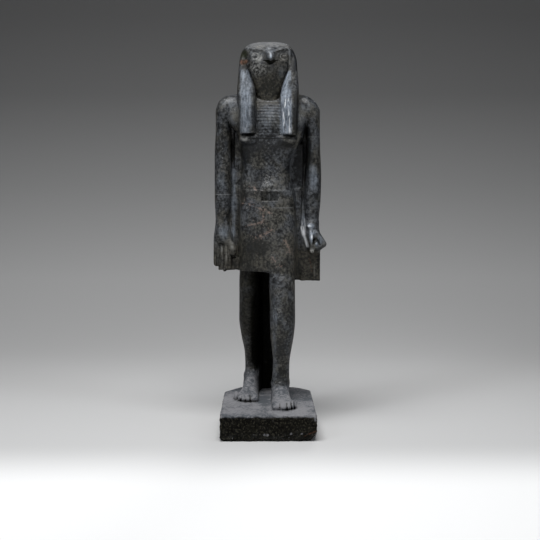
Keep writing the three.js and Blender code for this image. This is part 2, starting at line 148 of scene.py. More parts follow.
def prism(corners, bottom, top, edge=3.0):
    # an upright convex block over a plan whose corners go round anticlockwise
    xs, ys = zip(*corners)

    def distance(x, y, z):
        result = np.maximum(bottom - z, z - top)
        for (x1, y1), (x2, y2) in zip(corners, corners[1:] + corners[:1]):
            length = math.hypot(x2 - x1, y2 - y1)
            side = ((y2 - y1) * (x - x1) - (x2 - x1) * (y - y1)) / length
            result = smoothMax(result, side, edge)
        return result

    return (min(xs), min(ys), bottom), (max(xs), max(ys), top), distance


def ball(centre, reach):
    widest = max(reach)

    def distance(x, y, z):
        away = [p - c for p, c in zip((x, y, z), centre)]
        outer = np.sqrt(sum((a / r) ** 2 for a, r in zip(away, reach))) + 1e-5
        slope = np.sqrt(sum((a / r ** 2) ** 2 for a, r in zip(away, reach)))
        return outer * (outer - 1) / (slope + 1e-6)

    return [c - widest for c in centre], [c + widest for c in centre], distance


def bar(points, radii, across=1.0, stretch=1.0, steps=4):
    # a round bar through a few points, scaled in width and in height
    places = np.arange(len(points))
    fine = np.linspace(0, len(points) - 1, steps * (len(points) - 1) + 1)
    path = np.stack([through(places, [p[k] for p in points], fine) for k in range(3)], axis=1)
    thick = through(places, radii, fine)

    def distance(x, y, z):
        result = None
        for i in range(len(path) - 1):
            start, span = path[i], path[i + 1] - path[i]
            dx, dy, dz = x - start[0], y - start[1], z - start[2]
            t = np.clip((dx * span[0] + dy * span[1] + dz * span[2]) / (span @ span), 0, 1)
            gap = np.sqrt(
                ((dx - t * span[0]) / across) ** 2
                + (dy - t * span[1]) ** 2
                + ((dz - t * span[2]) / stretch) ** 2
            )
            gap = gap - (thick[i] + t * (thick[i + 1] - thick[i]))
            result = gap if result is None else np.minimum(result, gap)
        return result

    widest = max(radii) * max(across, stretch)
    return path.min(axis=0) - widest, path.max(axis=0) + widest, distance


def oneOf(pair, side):
    # the rows of one of a pair, which share their heights and depths
    first = 1 if side == "right" else 3
    shared = [(row[0], row[first], row[first + 1], row[5], row[6]) for row in pair["rows"]]
    return [pair["lowEnd"][side], *shared]


def window(low, high, margin):
    spans = []
    for axis, start, end in zip(axes, low, high):
        first = int(np.searchsorted(axis, start - margin))
        last = int(np.searchsorted(axis, end + margin))
        spans.append(slice(first, last))
    x = axes[0][spans[0]][:, None, None]
    y = axes[1][spans[1]][None, :, None]
    z = axes[2][spans[2]][None, None, :]
    return tuple(spans), x, y, z


def add(form, blend=None):
    blend = carving["edge"] if blend is None else blend
    low, high, distance = form
    spans, x, y, z = window(low, high, blend + 4 * step)
    field[spans] = smoothMin(field[spans], distance(x, y, z), blend)


def cut(form, blend=1.5):
    low, high, distance = form
    spans, x, y, z = window(low, high, blend + 2 * step)
    field[spans] = smoothMax(field[spans], -distance(x, y, z), blend)


def emboss(low, high, rise):
    # rise(x, y, z) gives how far the skin moves out there, in mm
    spans, x, y, z = window(low, high, 0)
    field[spans] -= rise(x, y, z)


# Trunk, kilt, belt and collar

trunkShape = {
    "roundness": 2.7,
    "rows": [
        (860, -125, 128, 58, 266),
        (940, -124, 121, 62, 266),
        (986, -121, 107, 72, 266),
        (1031, -118, 100, 78, 266),
        (1077, -120, 107, 80, 266),
        (1122, -126, 132, 76, 266),
        (1167, -131, 157, 68, 266),
        (1203, -143, 168, 65, 268),
        (1235, -172, 179, 66, 270),
        (1290, -205, 208, 74, 270),
        (1330, -205, 205, 86, 266),
        (1355, -188, 180, 104, 258),
        (1372, -150, 146, 122, 246),
        (1382, -80, 80, 145, 225),
    ],
    "swells": (  # chest muscles and belly: centre, reach, blend
        ((-74, 102, 1170), (54, 48, 32), 14),
        ((82, 102, 1168), (60, 48, 32), 14),
        ((4, 98, 952), (34, 28, 30), 30),
    ),
}

kiltShape = {
    "roundness": 3.2,
    "hem": 576,
    "hemDrop": 28,  # how much lower the hem is over the left leg
    "beltLow": 885,
    "beltHigh": 943,
    "beltRise": 0.2,  # a thin edge that only just shows
    "rows": [
        (576, -135, 131, 72, 282),
        (680, -132, 131, 60, 282),
        (780, -129, 130, 54, 276),
        (880, -127, 128, 56, 268),
        (943, -124, 121, 62, 266),
    ],
    "strideHeights": (576, 680, 780, 880, 943),
    "stride": (86, 56, 24, 4, 0),  # how far the left side is carried forward
    "hemAcross": (-20, 90),        # where the hem drops
    "strideAcross": (-130, 115),
    "strideDepth": (250, 60),      # the back stays and the front moves
    "room": (90, 30),              # how far the bend may carry it forward and down
}

buckle = {"right": -34, "left": 51, "rise": 4.0, "border": 6.5, "sunk": 4.5}

collar = {
    "low": 1172, "high": 1340, "right": -52, "left": 60,
    "pitch": 13.0, "rise": 1.0,  # of one row
    "bandRise": 1.4,
}


def kiltBend(x, y, z):
    # the left leg's stride carries the cloth forward and its hem down
    drop = kiltShape["hemDrop"] * fade(*kiltShape["hemAcross"], x)
    level = z + 0 * x
    for _ in range(3):
        level = z + drop * fade(kiltShape["beltLow"], kiltShape["hem"], level)
    reach = through(kiltShape["strideHeights"], kiltShape["stride"], level)
    across = fade(*kiltShape["strideAcross"], x)
    depth = y + 0 * level
    for _ in range(4):
        depth = y + reach * across * fade(*kiltShape["strideDepth"], depth)
    return x, depth, level


def kiltForm(grow=0.0, low=None, high=None):
    rows = [
        (h, right - grow, left + grow, front - grow, back)
        for h, right, left, front, back in kiltShape["rows"]
    ]
    start, end, distance = member(rows, kiltShape["roundness"], edge=3, bend=kiltBend)
    start = [start[0], start[1] - kiltShape["room"][0], start[2] - kiltShape["room"][1]]
    if low is None:
        return start, end, distance

    def band(x, y, z):
        return smoothMax(distance(x, y, z), np.maximum(low - z, z - high), 1.5)

    return [start[0], start[1], low], [end[0], end[1], high], band


def carveTrunk():
    add(member(trunkShape["rows"], trunkShape["roundness"], edge=12))
    for centre, reach, blend in trunkShape["swells"]:
        add(ball(centre, reach), blend)
    add(kiltForm(), 2)
    add(kiltForm(kiltShape["beltRise"], kiltShape["beltLow"], kiltShape["beltHigh"] - 1), 1)


def carveBuckle():
    # a plate on the belt's front with two sunken panes
    front = kiltShape["rows"][-1][3] - buckle["rise"] - kiltShape["beltRise"]
    low, high = kiltShape["beltLow"] + 0.5, kiltShape["beltHigh"] - 1
    middle = (buckle["right"] + buckle["left"]) / 2
    edge = buckle["border"]
    add(block((buckle["right"], front, low), (buckle["left"], front + 30, high), 2), 1)
    for right, left in (
        (buckle["right"] + edge, middle - edge / 3),
        (middle + edge / 3, buckle["left"] - edge),
    ):
        cut(block((right, front - 20, low + edge), (left, front + buckle["sunk"], high - edge), 1), 1)


def carveCollar():
    # a low band under the collar's rows; the rows themselves come with the weathering
    low = collar["low"]

    def lowerBand(x, y, z):
        band = fade(low - 20, low - 11, z) * fade(low - 4, low - 7, z)
        return collar["bandRise"] * band * fade(150, 110, y)

    emboss((-160, 20, low - 22), (175, 150, low + 3), lowerBand)


# Legs and feet

rightLegShape = {
    "roundness": 2.2,
    "rows": [
        (-8, -112, -42, 158, 266),
        (34, -112, -40, 160, 266),
        (88, -106, -42, 168, 262),
        (140, -100, -44, 174, 256),
        (198, -107, -43, 168, 258),
        (269, -121, -42, 152, 262),
        (348, -131, -40, 138, 264),
        (432, -130, -38, 128, 262),
        (511, -130, -34, 112, 262),
        (640, -122, -34, 125, 262),
    ],
    "knee": (-86, 140, 500),
    "calf": (-86, 238, 340),
    "ankle": ((-99, 214, 80), (-49, 208, 86)),
}

leftLegShape = {
    "roundness": 2.2,
    "rows": [
        (-8, 17, 95, -28, 74),
        (67, 17, 97, -22, 76),
        (120, 21, 97, -12, 74),
        (169, 24, 98, -6, 76),
        (223, 19, 106, -8, 90),
        (290, 12, 118, -10, 108),
        (366, 10, 124, -12, 118),
        (447, 9, 123, -14, 112),
        (524, 6, 123, -12, 122),
        (620, 8, 118, 30, 130),
    ],
    "knee": (66, 10, 508),
    "calf": (66, 88, 345),
    "ankle": ((86, 26, 78), (25, 14, 78)),
}

legSwells = {"knee": (31, 22, 34), "calf": (36, 30, 80), "ankle": (10, 14, 14)}  # reaches

rightFootShape = {
    "outward": -1,
    "rows": [  # place, inner edge, outer edge, top
        (0, -50, -136, 16),
        (10, -44, -146, 24),
        (34, -42, -146, 34),
        (70, -42, -134, 46),
        (110, -42, -122, 62),
        (160, -42, -115, 84),
        (210, -42, -112, 82),
        (254, -46, -106, 60),
        (268, -54, -96, 36),
    ],
    "innerEdge": -45,
    "toeWidths": (34, 21, 18, 17, 16),
    "tips": (-45, -46, -42, -26, 2),
    "groove": 0.5,
    "gapShadeShare": 0.35,  # how dark the painted shade in its outer toes' gaps is
}

leftFootShape = {
    "outward": 1,
    "rows": [
        (-186, 28, 108, 16),
        (-176, 20, 116, 25),
        (-156, 16, 116, 35),
        (-115, 14, 108, 48),
        (-70, 15, 102, 64),
        (-20, 16, 98, 84),
        (24, 17, 97, 82),
        (60, 21, 91, 60),
        (72, 30, 82, 36),
    ],
    "innerEdge": 18,
    "toeWidths": (32, 30, 19, 13, 11),
    "tips": (-233, -235, -226, -212, -196),
    "groove": 1.9,
    "gapShadeShare": 1,
}

toes = {"length": 70, "radii": (13, 14, 12.5, 12), "thickness": 12}


def carveLegs():
    for leg in (rightLegShape, leftLegShape):
        add(member(leg["rows"], leg["roundness"]), 4)
        x, front, _ = leg["knee"]
        add(ball(leg["knee"], legSwells["knee"]), 22)
        add(ball(leg["calf"], legSwells["calf"]), 24)
        for spot in leg["ankle"]:
            add(ball(spot, legSwells["ankle"]), 12)
        shin = [(x, front + 2, 440), (x + 2, front + 18, 300), (x, front + 40, 170)]
        add(bar(shin, (14, 12, 10)), 26)


def gapsOf(foot):
    # between each two toes: its place across, and where it starts in depth
    edge, gaps = foot["innerEdge"], []
    for i, width in enumerate(foot["toeWidths"][:-1]):
        edge += foot["outward"] * width
        gaps.append((edge, max(foot["tips"][i], foot["tips"][i + 1])))
    return gaps


def carveFoot(foot):
    outward = foot["outward"]
    lying = [
        (place, min(inner, outer), max(inner, outer), -top, top)
        for place, inner, outer, top in foot["rows"]
    ]
    add(member(lying, 2.3, along=1, edge=8), 9)
    edge, reach = foot["innerEdge"], toes["length"]
    for width, tip in zip(foot["toeWidths"], foot["tips"]):
        x = edge + outward * width / 2
        points = [
            (x, tip + reach, 17),
            (x, tip + reach * 0.6, 20),
            (x, tip + reach * 0.3, 17),
            (x, tip + 11, 12),
        ]
        add(bar(points, toes["radii"], across=width / 2 / toes["thickness"]), 8)
        edge += outward * width
    for edge, tip in gapsOf(foot):
        groove = [(edge, tip - 6, 8), (edge, tip + 26, 22), (edge, tip + reach - 10, 40)]
        cut(bar(groove, (foot["groove"], foot["groove"], 0.6), steps=2), 3)


# Arms and hands

armShape = {
    "roundness": 2.3,
    "rows": [  # height, the right arm's edges, the left arm's edges, front, back
        (767, -240, -172, 174, 233, 112, 206),
        (804, -237, -173, 171, 234, 118, 204),
        (895, -241, -164, 166, 242, 116, 216),
        (1009, -241, -162, 174, 245, 118, 226),
        (1122, -240, -164, 180, 240, 114, 230),
        (1212, -235, -166, 174, 238, 106, 236),
        (1293, -235, -150, 150, 238, 100, 244),
        (1334, -224, -135, 135, 221, 110, 240),
        (1350, -211, -130, 130, 204, 120, 232),
        (1362, -195, -135, 135, 186, 134, 220),
        (1369, -175, -145, 145, 168, 150, 205),
    ],
    "lowEnd": {"right": (730, -245, -166, 108, 206), "left": (740, 170, 238, 106, 206)},
    "rightWrist": (700, -247, -162, 112, 204),
}

openHand = {  # little finger first; the tips are broken off unevenly
    "centres": (-231, -206, -188, -173),
    "tips": (594, 581, 579, 580),
    "radii": (14.5, 11, 10, 8),
    "gaps": ((-216, 115), (-197, 112.5), (-180.5, 114)),  # place across, then in depth
    "palm": ((-243, 124, 596), (-168, 200, 716)),
    "stump": ((-224, 124, 578), (-168, 200, 640)),  # where the fingers are broken off
    "back": ((-200, 142, 740), (33, 24, 66)),
    "thumb": [(-190, 130, 722), (-172, 124, 700), (-158, 123, 676), (-155, 125, 657)],
    "thumbRadii": (14, 15, 16, 14),
    "underThumb": ((-172, 130, 579), (-122, 206, 634)),
}

fistShape = {
    "roundness": 2.6,
    "rows": [
        (652, 192, 230, 120, 196),
        (664, 185, 238, 104, 208),
        (690, 180, 242, 99, 212),
        (715, 177, 240, 100, 212),
        (745, 175, 238, 101, 210),
        (772, 174, 234, 109, 207),
        (800, 172, 234, 117, 204),
    ],
    "hollow": [(207, 84, 703), (208, 84, 717), (217, 83, 724), (227, 83, 714), (236, 82, 695)],
    "hollowRadii": (4.5, 5.5, 5.5, 5, 3.5),
    "rod": [(219, 214, 698), (219, 87, 698)],
    "wrist": ((195, 124, 778), (22, 17, 14)),
    "thumb": [(196, 118, 768), (196, 97, 740), (199, 87, 708), (200, 88, 676)],
    "thumbRadii": (10, 10, 8.5, 8.5),
    "thumbTip": ((200.5, 88, 667), (10, 10, 10.5)),
    "fingers": ((96, 15), (121, 15), (145, 14.5), (168, 14)),  # place in depth, thickness
}


def carveArms():
    right = [armShape["rightWrist"], *oneOf(armShape, "right")]
    for rows in (right, oneOf(armShape, "left")):
        add(member(rows, armShape["roundness"]), 8)


def carveOpenHand():
    add(block(*openHand["palm"], 10), 4)
    add(block(*openHand["stump"], 4), 3)
    add(ball(*openHand["back"]), 16)
    for x, tip, radius in zip(openHand["centres"], openHand["tips"], openHand["radii"]):
        points = [(x, 126, tip + radius), (x, 121, 630), (x, 122, 668), (x, 134, 704)]
        add(bar(points, (radius, radius * 1.02, radius, radius)), 2.5)
    for edge, depth in openHand["gaps"]:
        cut(bar([(edge, depth, 568), (edge, depth - 3, 676)], (2.8, 1.2), steps=1), 2)
    add(ball((-196, 128, 580), (8, 12, 9)), 2)
    # the thumb lies against the thigh, on a low ridge of stone
    add(bar(openHand["thumb"], openHand["thumbRadii"]), 8)
    add(block(*openHand["underThumb"], 5), 2)
    add(bar([(-153, 136, 626), (-156, 136, 590)], (9, 9), steps=1), 5)
    add(ball((-137, 140, 606), (9, 9, 20)), 5)


def carveFist():
    add(member(fistShape["rows"], fistShape["roundness"], edge=8), 8)
    for depth, thick in fistShape["fingers"]:
        add(bar([(222, depth + 4, 744), (251, depth, 699)], (thick, thick), steps=1), 3)
        add(bar([(251, depth, 697), (226, depth - 2, 678)], (thick, thick - 2), steps=1), 2)
    add(bar([(204, 131, 795), (206, 114, 744), (232, 98, 712)], (13, 15, 14), steps=2), 12)
    add(block((205, 84, 672), (226, 150, 712), 4), 4)
    add(ball(*fistShape["wrist"]), 16)
    add(bar(fistShape["thumb"], fistShape["thumbRadii"]), 5)
    add(ball(*fistShape["thumbTip"]), 1.5)
    # the hollow between the curled fingers, nearly filled by the end of a rod
    cut(bar(fistShape["hollow"], fistShape["hollowRadii"]), 1)
    cut(ball((219, 82, 702), (11, 9, 13)), 1)
    add(bar(fistShape["rod"], (7.5, 7.5), steps=1, stretch=1.3), 0.5)


# Stone left standing between the limbs, and the back pillar

webs = {
    "front": 152, "back": 228,
    "grooveRight": 182, "grooveLeft": 205,  # how deep the slots beside the arms are
    "low": 587, "high": 1255,
    "panelLow": 527,
    "thickness": 52,  # of the wall behind the left leg
    "lobe": [(150, 176, 900), (158, 160, 800), (161, 154, 735), (168, 153, 680)],
    "lobeRadii": (14, 17, 18, 15),
    "ridges": (((211, 608), (214, 534)), ((234, 640), (235, 560))),  # across, up
}


def carveWebs():
    front, back = webs["front"], webs["back"]
    low, high = webs["low"], webs["high"]
    for right, left, depth, bottom, top in (
        (-176, -108, front, low, 960),
        (-140, -100, front, 940, 1060),
        (-150, -100, front, 1040, 1205),
        (-180, -100, webs["grooveRight"], 940, high),
        (92, 178, front, 640, 860),
        (90, 152, front, 840, 950),
        (90, 161, front + 10, 930, 1150),
        (90, 184, webs["grooveLeft"], 840, high),
        # behind the arms the stone runs on, level across the back
        (-196, 0, webs["grooveRight"] + 8, low, high),
        (0, 196, webs["grooveLeft"] + 1, low, high),
    ):
        add(block((right, depth, bottom), (left, back, top), 3))
    # the slots grow shallow towards the armpits
    for right, left, groove in ((-182, -134, webs["grooveRight"]), (150, 190, webs["grooveLeft"])):
        upper = [  # height, right, left, front, back
            (1145, right, left, groove, back),
            (1185, right, left, (groove + front) / 2, back),
            (1222, right, left, front + 2, back),
        ]
        add(member(upper, 8, edge=3), 6)
    # and run out gradually lower down
    for right, left, bottom, top, groove in (
        (-182, -134, 930, 1150, webs["grooveRight"]),
        (146, 186, 830, 1060, webs["grooveLeft"]),
    ):
        ramp = [
            (bottom, right, left, front, back),
            (bottom + 0.4 * (top - bottom), right, left, front + 5, back),
            (bottom + 0.7 * (top - bottom), right, left, (front + groove) / 2, back),
            (top, right, left, groove, back),
        ]
        add(member(ramp, 8, edge=3), 4)
    # beside the kilt the stone comes further forward
    leaning = [
        (532, 112, 153, 146, back - 6),
        (650, 112, 153, 132, back),
        (850, 112, 153, 130, back),
        (940, 112, 153, front + 2, back),
    ]
    add(member(leaning, 8, edge=3), 10)
    add(bar(webs["lobe"], webs["lobeRadii"]), 12)
    # the panel under the left fist
    for right, left, depth, bottom, top in (
        (150, 240, front - 12, webs["panelLow"], 700),
        (100, 156, front - 2, webs["panelLow"] + 5, 690),
    ):
        add(block((right, depth, bottom), (left, back - 6, top), 3), 6)
    # and tool ridges down it
    for ridge in webs["ridges"]:
        add(bar([(x, front - 12, height) for x, height in ridge], (4, 3), steps=1), 3)
    # the walls behind the legs reach back to the pillar
    add(block((34, 60, -8), (34 + webs["thickness"], pillarFront + 6, 620), 4), 4)
    fill = [(-104, 200), (-46, 200), (-20, pillarFront + 6), (-84, pillarFront + 6)]
    add(prism(fill, -8, 620))


def carvePillar():
    half, middle = pillar["width"] / 2, pillar["middle"]
    low, high = (middle - half, pillarFront, -8), (middle + half, backFace - 1, pillar["top"])
    add(block(low, high, 4))
    # a core that joins it to the trunk
    add(block((12 - half, pillarFront - 46, 560), (half - 4, pillarFront + 6, 1380), 4))


# Headcloth, face and beak

headclothShape = {
    "roundness": 3.4,
    "rows": [
        (1322, -132, 136, 150, 262),
        (1345, -139, 143, 132, 284),
        (1401, -136, 139, 110, 294),
        (1455, -133, 136, 92, 298),
        (1509, -128, 134, 78, 297),
        (1536, -124, 129, 72, 292),
        (1560, -116, 120, 70, 282),
        (1574, -107, 112, 76, 272),
        (1588, -93, 101, 92, 256),
        (1599, -70, 80, 116, 234),
        (1606, -34, 46, 146, 204),
    ],
    # where it opens round the face: height, right edge, left edge
    "opening": [
        (1310, -52, 60),
        (1350, -51, 58),
        (1372, -51, 57),
        (1396, -57, 63),
        (1418, -63, 70),
        (1440, -70, 77),
        (1456, -76, 83),
        (1480, -84, 90),
        (1517, -88, 94),
        (1555, -89, 94),
        (1570, -84, 89),
        (1577, -66, 72),
    ],
    "rim": 2.6,
}

lappetShape = {
    "roundness": 3.6,
    "rows": [  # height, the right one's edges, the left one's edges, front, back
        (1230, -125, -51, 59, 133, 36, 124),
        (1300, -127, -51, 57, 136, 34, 130),
        (1345, -134, -52, 55, 140, 40, 150),
        (1388, -137, -55, 63, 140, 50, 170),
        (1420, -135, -64, 71, 139, 58, 180),
        (1456, -132, -76, 83, 136, 69, 180),
        (1490, -129, -85, 92, 133, 79, 180),
        (1525, -125, -88, 94, 130, 90, 180),
        (1552, -115, -89, 94, 121, 104, 180),
    ],
    "lowEnd": {"right": (1196, -123, -52, 42, 120), "left": (1190, 61, 130, 42, 120)},
    "slant": {"right": (-88, -0.06), "left": (96, 0.12)},  # its middle and its slope
}

faceShape = {
    "roundness": 3.6,
    "rows": [
        (1319, -27, 45, 96, 200),
        (1338, -36, 50, 92, 210),
        (1360, -54, 61, 90, 210),
        (1380, -63, 70, 87, 210),
        (1418, -75, 82, 80, 210),
        (1456, -86, 92, 71, 210),
        (1480, -91, 97, 65, 210),
        (1512, -95, 101, 59, 210),
        (1540, -96, 102, 58, 210),
        (1562, -96, 102, 66, 210),
        (1580, -86, 92, 86, 200),
    ],
}

beakShape = {
    "roundness": 1.9,
    "rows": [
        (1516, 2, 24, 27, 90),
        (1520, -3, 28, 22, 95),
        (1527, -7, 32, 22, 95),
        (1538, -9, 34, 27, 95),
        (1550, -13, 37, 36, 95),
        (1561, -17, 40, 49, 95),
        (1574, -16, 38, 62, 95),
        (1584, -6, 28, 80, 95),
    ],
    "hook": [(12, 38, 1524), (12.5, 31, 1519), (13, 33, 1515)],
    "hookRadii": (8, 5.5, 3.5),
}

eyes = {
    "right": (-55, 1534),
    "left": (73, 1533),
    "socket": (24, 7, 16),
    "ball": (13, 9, 10),
    "lid": 3.0,
    "lidReach": (17, 14),
    "brows": {"right": (-8, -88), "left": (31, 93)},  # inner and outer end
    "browRadii": (8, 10, 7),
    # dark lines between brow and crown, across and up
    "browShade": (
        [(-52, 1565), (-35, 1561), (-20, 1558)],
        [(41, 1555), (56, 1560), (72, 1565)],
    ),
}

mouth = {"right": -27, "left": 52, "top": 1518, "drop": 24}


def frontOf(shape, height, x):
    # how far forward a form made of rows comes at one height and place across
    heights = [row[0] for row in shape["rows"]]
    right, left, front, back = (
        float(through(heights, [row[k] for row in shape["rows"]], height)) for k in (1, 2, 3, 4)
    )
    share = min(abs(x - (right + left) / 2) / ((left - right) / 2), 0.98)
    power = shape["roundness"]
    return (front + back) / 2 - (back - front) / 2 * (1 - share ** power) ** (1 / power)


def edgeOfOpening(h, column):
    heights = [row[0] for row in headclothShape["opening"]]
    return through(heights, [row[column] for row in headclothShape["opening"]], h)


def rimOf(x, y, z):
    # a raised hem just outside the opening's edge
    outside = np.maximum(edgeOfOpening(z, 1) - x, x - edgeOfOpening(z, 2))
    ridge = fade(-0.5, 1.5, outside) * fade(9.5, 6.5, outside)
    ridge = headclothShape["rim"] * ridge * fade(140, 120, y)
    return ridge * fade(1372, 1390, z) * fade(1576, 1566, z)


def carveHeadcloth():
    add(member(headclothShape["rows"], headclothShape["roundness"], edge=10), 4)
    opening = [(h, right, left, -20, 126) for h, right, left in headclothShape["opening"]]
    cut(member(opening, 8, edge=2), 1)
    emboss((-140, 20, 1345), (140, 140, 1580), rimOf)


def carveLappets():
    for side, (middle, slope) in lappetShape["slant"].items():

        def bend(x, y, z):
            return x, y, z + slope * (x - middle)

        rows = oneOf(lappetShape, side)
        add(member(rows, lappetShape["roundness"], edge=3, bend=bend), 5)


def carveFace():
    add(member(faceShape["rows"], faceShape["roundness"], edge=4), 0.5)
    add(member(beakShape["rows"], beakShape["roundness"], edge=1.5), 3)
    for side, (inner, outer) in eyes["brows"].items():
        x, height = eyes[side]
        middle = (inner + outer) / 2
        # the brow slopes down to the beak
        brow = [
            (inner, frontOf(faceShape, 1552, inner) + 3, 1553),
            (middle, frontOf(faceShape, 1560, middle) + 2, 1561),
            (outer, frontOf(faceShape, 1568, outer) + 4, 1569),
        ]
        add(bar(brow, eyes["browRadii"]), 4)
        front = frontOf(faceShape, height, x)
        cut(ball((x, front - 1, height - 1), eyes["socket"]), 7)
        lid = []
        for i in range(13):
            angle = math.pi * 2 * i / 12
            lidX = x + eyes["lidReach"][0] * math.cos(angle)
            lidHeight = height + eyes["lidReach"][1] * math.sin(angle)
            lid.append((lidX, frontOf(faceShape, lidHeight, lidX) + 4.5, lidHeight))
        add(bar(lid, [eyes["lid"]] * 13, steps=1), 3)
        add(ball((x, front + 9, height), eyes["ball"]), 1)
    # the mouth: a dark cleft under the hooked beak
    top, middle = mouth["top"], (mouth["right"] + mouth["left"]) / 2
    cleft = [
        (mouth["right"] + 8, 60, top - 2),
        (middle - 17, 58, top - 5),
        (middle, 54, top - 11),
        (middle + 17, 58, top - 5),
        (mouth["left"] - 8, 60, top - 2),
    ]
    cut(bar(cleft, (2, 4, 9, 4, 2)), 1.5)
    add(bar(beakShape["hook"], beakShape["hookRadii"]), 2)


# Plinth

plinthShape = {
    "seed": 4,
    "upperChips": 16,  # small ones along the front edges
    "lowerChips": 9,
    "chipReach": ((5, 15), (3, 7), (2.5, 7)),  # least and most, each way
    # breaks at the corners: a point on the break, the way it faces, and how far it reaches
    "breaks": (
        ((197, -322, -3), (0.75, -0.35, 0.55), 46),
        ((191, -328, -88), (0.80, -0.20, -0.58), 90),
        ((-199, -328, -100), (-0.70, -0.30, -0.65), 60),
        ((-200, -300, -3), (-0.55, -0.25, 0.80), 50),
        ((-203, 60, -103), (-0.75, 0.05, -0.65), 90),
        ((150, 310, -4), (0.50, 0.60, 0.62), 60),
        ((203, 90, -100), (0.70, 0.05, -0.70), 110),
    ),
}


def carvePlinth():
    half, front = plinthSize["width"] / 2, -plinthSize["depth"] / 2
    outline = [  # the back corners are cut away
        (-half, front),
        (half, front),
        (half - 4, backFace - 80),
        (half * 0.81, backFace - 40),
        (half * 0.68, backFace - 1),
        (-half * 0.62, backFace - 1),
        (-half * 0.97, backFace - 117),
    ]
    add(prism(outline, -plinthSize["height"], 0, 4), 5)
    for spot, way, reach in plinthShape["breaks"]:
        length = math.sqrt(sum(w * w for w in way))
        way = [w / length for w in way]
        spans, x, y, z = window([c - reach for c in spot], [c + reach for c in spot], 0)
        beyond = sum(w * (p - c) for w, p, c in zip(way, (x, y, z), spot))
        near = np.sqrt(sum((p - c) ** 2 for p, c in zip((x, y, z), spot))) - reach
        part = smoothMax(-beyond, near, 3)  # negative where stone is broken away
        field[spans] = smoothMax(field[spans], -part, 2)
    chance = np.random.default_rng(plinthShape["seed"])
    edges = ((0, plinthShape["upperChips"]), (-plinthSize["height"], plinthShape["lowerChips"]))
    for level, number in edges:
        for x in np.linspace(-half + 8, half - 8, number) + chance.uniform(-9, 9, number):
            reach = [chance.uniform(*span) for span in plinthShape["chipReach"]]
            cut(ball((x, front + chance.uniform(-1, 2), level), reach), 1.5)


carvePlinth()
carveHeadcloth()
carveTrunk()
carveBuckle()
carveCollar()
carveWebs()
carvePillar()
carveLegs()
carveFoot(rightFootShape)
carveFoot(leftFootShape)
carveArms()
carveOpenHand()
carveFist()
carveLappets()
carveFace()
print("carved", field.shape)


# The field's zero surface as a mesh: one point in each cell that it crosses

def skinField():
    inside = field < 0
    cells = np.zeros([n - 1 for n in inside.shape], dtype=np.uint8)
    corners = [(i, j, k) for i in (0, 1) for j in (0, 1) for k in (0, 1)]
    nx, ny, nz = cells.shape
    for i, j, k in corners:
        cells += inside[i:i + nx, j:j + ny, k:k + nz]
    active = np.argwhere((cells > 0) & (cells < 8))
    number = np.full(cells.shape, -1, dtype=np.int32)
    number[tuple(active.T)] = np.arange(len(active))
    values = {
        c: field[active[:, 0] + c[0], active[:, 1] + c[1], active[:, 2] + c[2]] for c in corners
    }
    total = np.zeros((len(active), 3), dtype=np.float64)
    count = np.zeros(len(active))
    for start in corners:
        for way in range(3):
            if start[way]:
                continue
            end = tuple(1 if a == way else start[a] for a in range(3))
            a, b = values[start], values[end]
            crossed = (a < 0) != (b < 0)
            t = np.where(crossed, a / np.where(crossed, a - b, 1), 0)
            for k in range(3):
                total[:, k] += np.where(crossed, start[k] + (t if k == way else 0), 0)
            count += crossed
    points = total / count[:, None] + active
    points = np.stack([axes[k][0] + points[:, k] * step for k in range(3)], axis=1)
    quads = []
    for way in range(3):
        ahead = np.roll(inside, -1, axis=way)
        changed = inside != ahead
        ends = [slice(1, -1)] * 3
        ends[way] = slice(0, -1)
        trimmed = np.zeros_like(changed)
        trimmed[tuple(ends)] = changed[tuple(ends)]
        places = np.argwhere(trimmed)
        u, v = [(1, 2), (2, 0), (0, 1)][way]
        ring = []
        for du, dv in ((-1, -1), (0, -1), (0, 0), (-1, 0)):
            cell = places.copy()
            cell[:, u] += du
            cell[:, v] += dv
            ring.append(number[tuple(cell.T)])
        quad = np.stack(ring, axis=1)
        out = inside[tuple(places.T)]
        quad[~out] = quad[~out][:, ::-1]
        quads.append(quad)
    return points, np.concatenate(quads)


def meshFrom(name, points, quads):
    mesh = bpy.data.meshes.new(name)
    mesh.vertices.add(len(points))
    mesh.vertices.foreach_set("co", points.astype(np.float32).ravel())
    mesh.loops.add(len(quads) * 4)
    mesh.loops.foreach_set("vertex_index", quads.astype(np.int32).ravel())
    mesh.polygons.add(len(quads))
    mesh.polygons.foreach_set("loop_start", np.arange(0, len(quads) * 4, 4, dtype=np.int32))
    mesh.update(calc_edges=True)
    mesh.validate()
    return mesh


def toMetres(points):
    # millimetres above the soles become metres above the underside
    moved = points * mm
    moved[:, 2] += plinthSize["height"] * mm
    moved[:, 2] = np.maximum(moved[:, 2], 0.0)
    return moved


points, quads = skinField()
print("skinned", len(points), "points")
figureMesh = meshFrom("horusFigure", toMetres(points), quads)
figure = bpy.data.objects.new("horusFigure", figureMesh)
bpy.context.scene.collection.objects.link(figure)


def store(mesh, name, values):
    layer = mesh.attributes.new(name, "FLOAT", "POINT")
    layer.data.foreach_set("value", np.asarray(values, dtype=np.float32))


def readBack(items, kind):
    values = np.empty(len(items) * 3, dtype=np.float32)
    items.foreach_get(kind, values)
    return values.reshape(-1, 3).astype(np.float64)


def between(low, high, value, soft):
    return fade(low - soft, low + soft, value) * fade(high + soft, high - soft, value)


# Node helpers: an input that is a socket is linked, and anything else is set on the node

def node(tree, kind, inputs=(), output=0, **settings):
    made = tree.nodes.new(kind)
    for name, value in settings.items():
        setattr(made, name, value)
    for name, value in dict(inputs).items():
        if isinstance(value, bpy.types.NodeSocket):
            tree.links.new(value, made.inputs[name])
        else:
            made.inputs[name].default_value = value
    return made.outputs[output]


def maths(tree, operation, a, b=0.0):
    return node(tree, "ShaderNodeMath", {0: a, 1: b}, operation=operation)


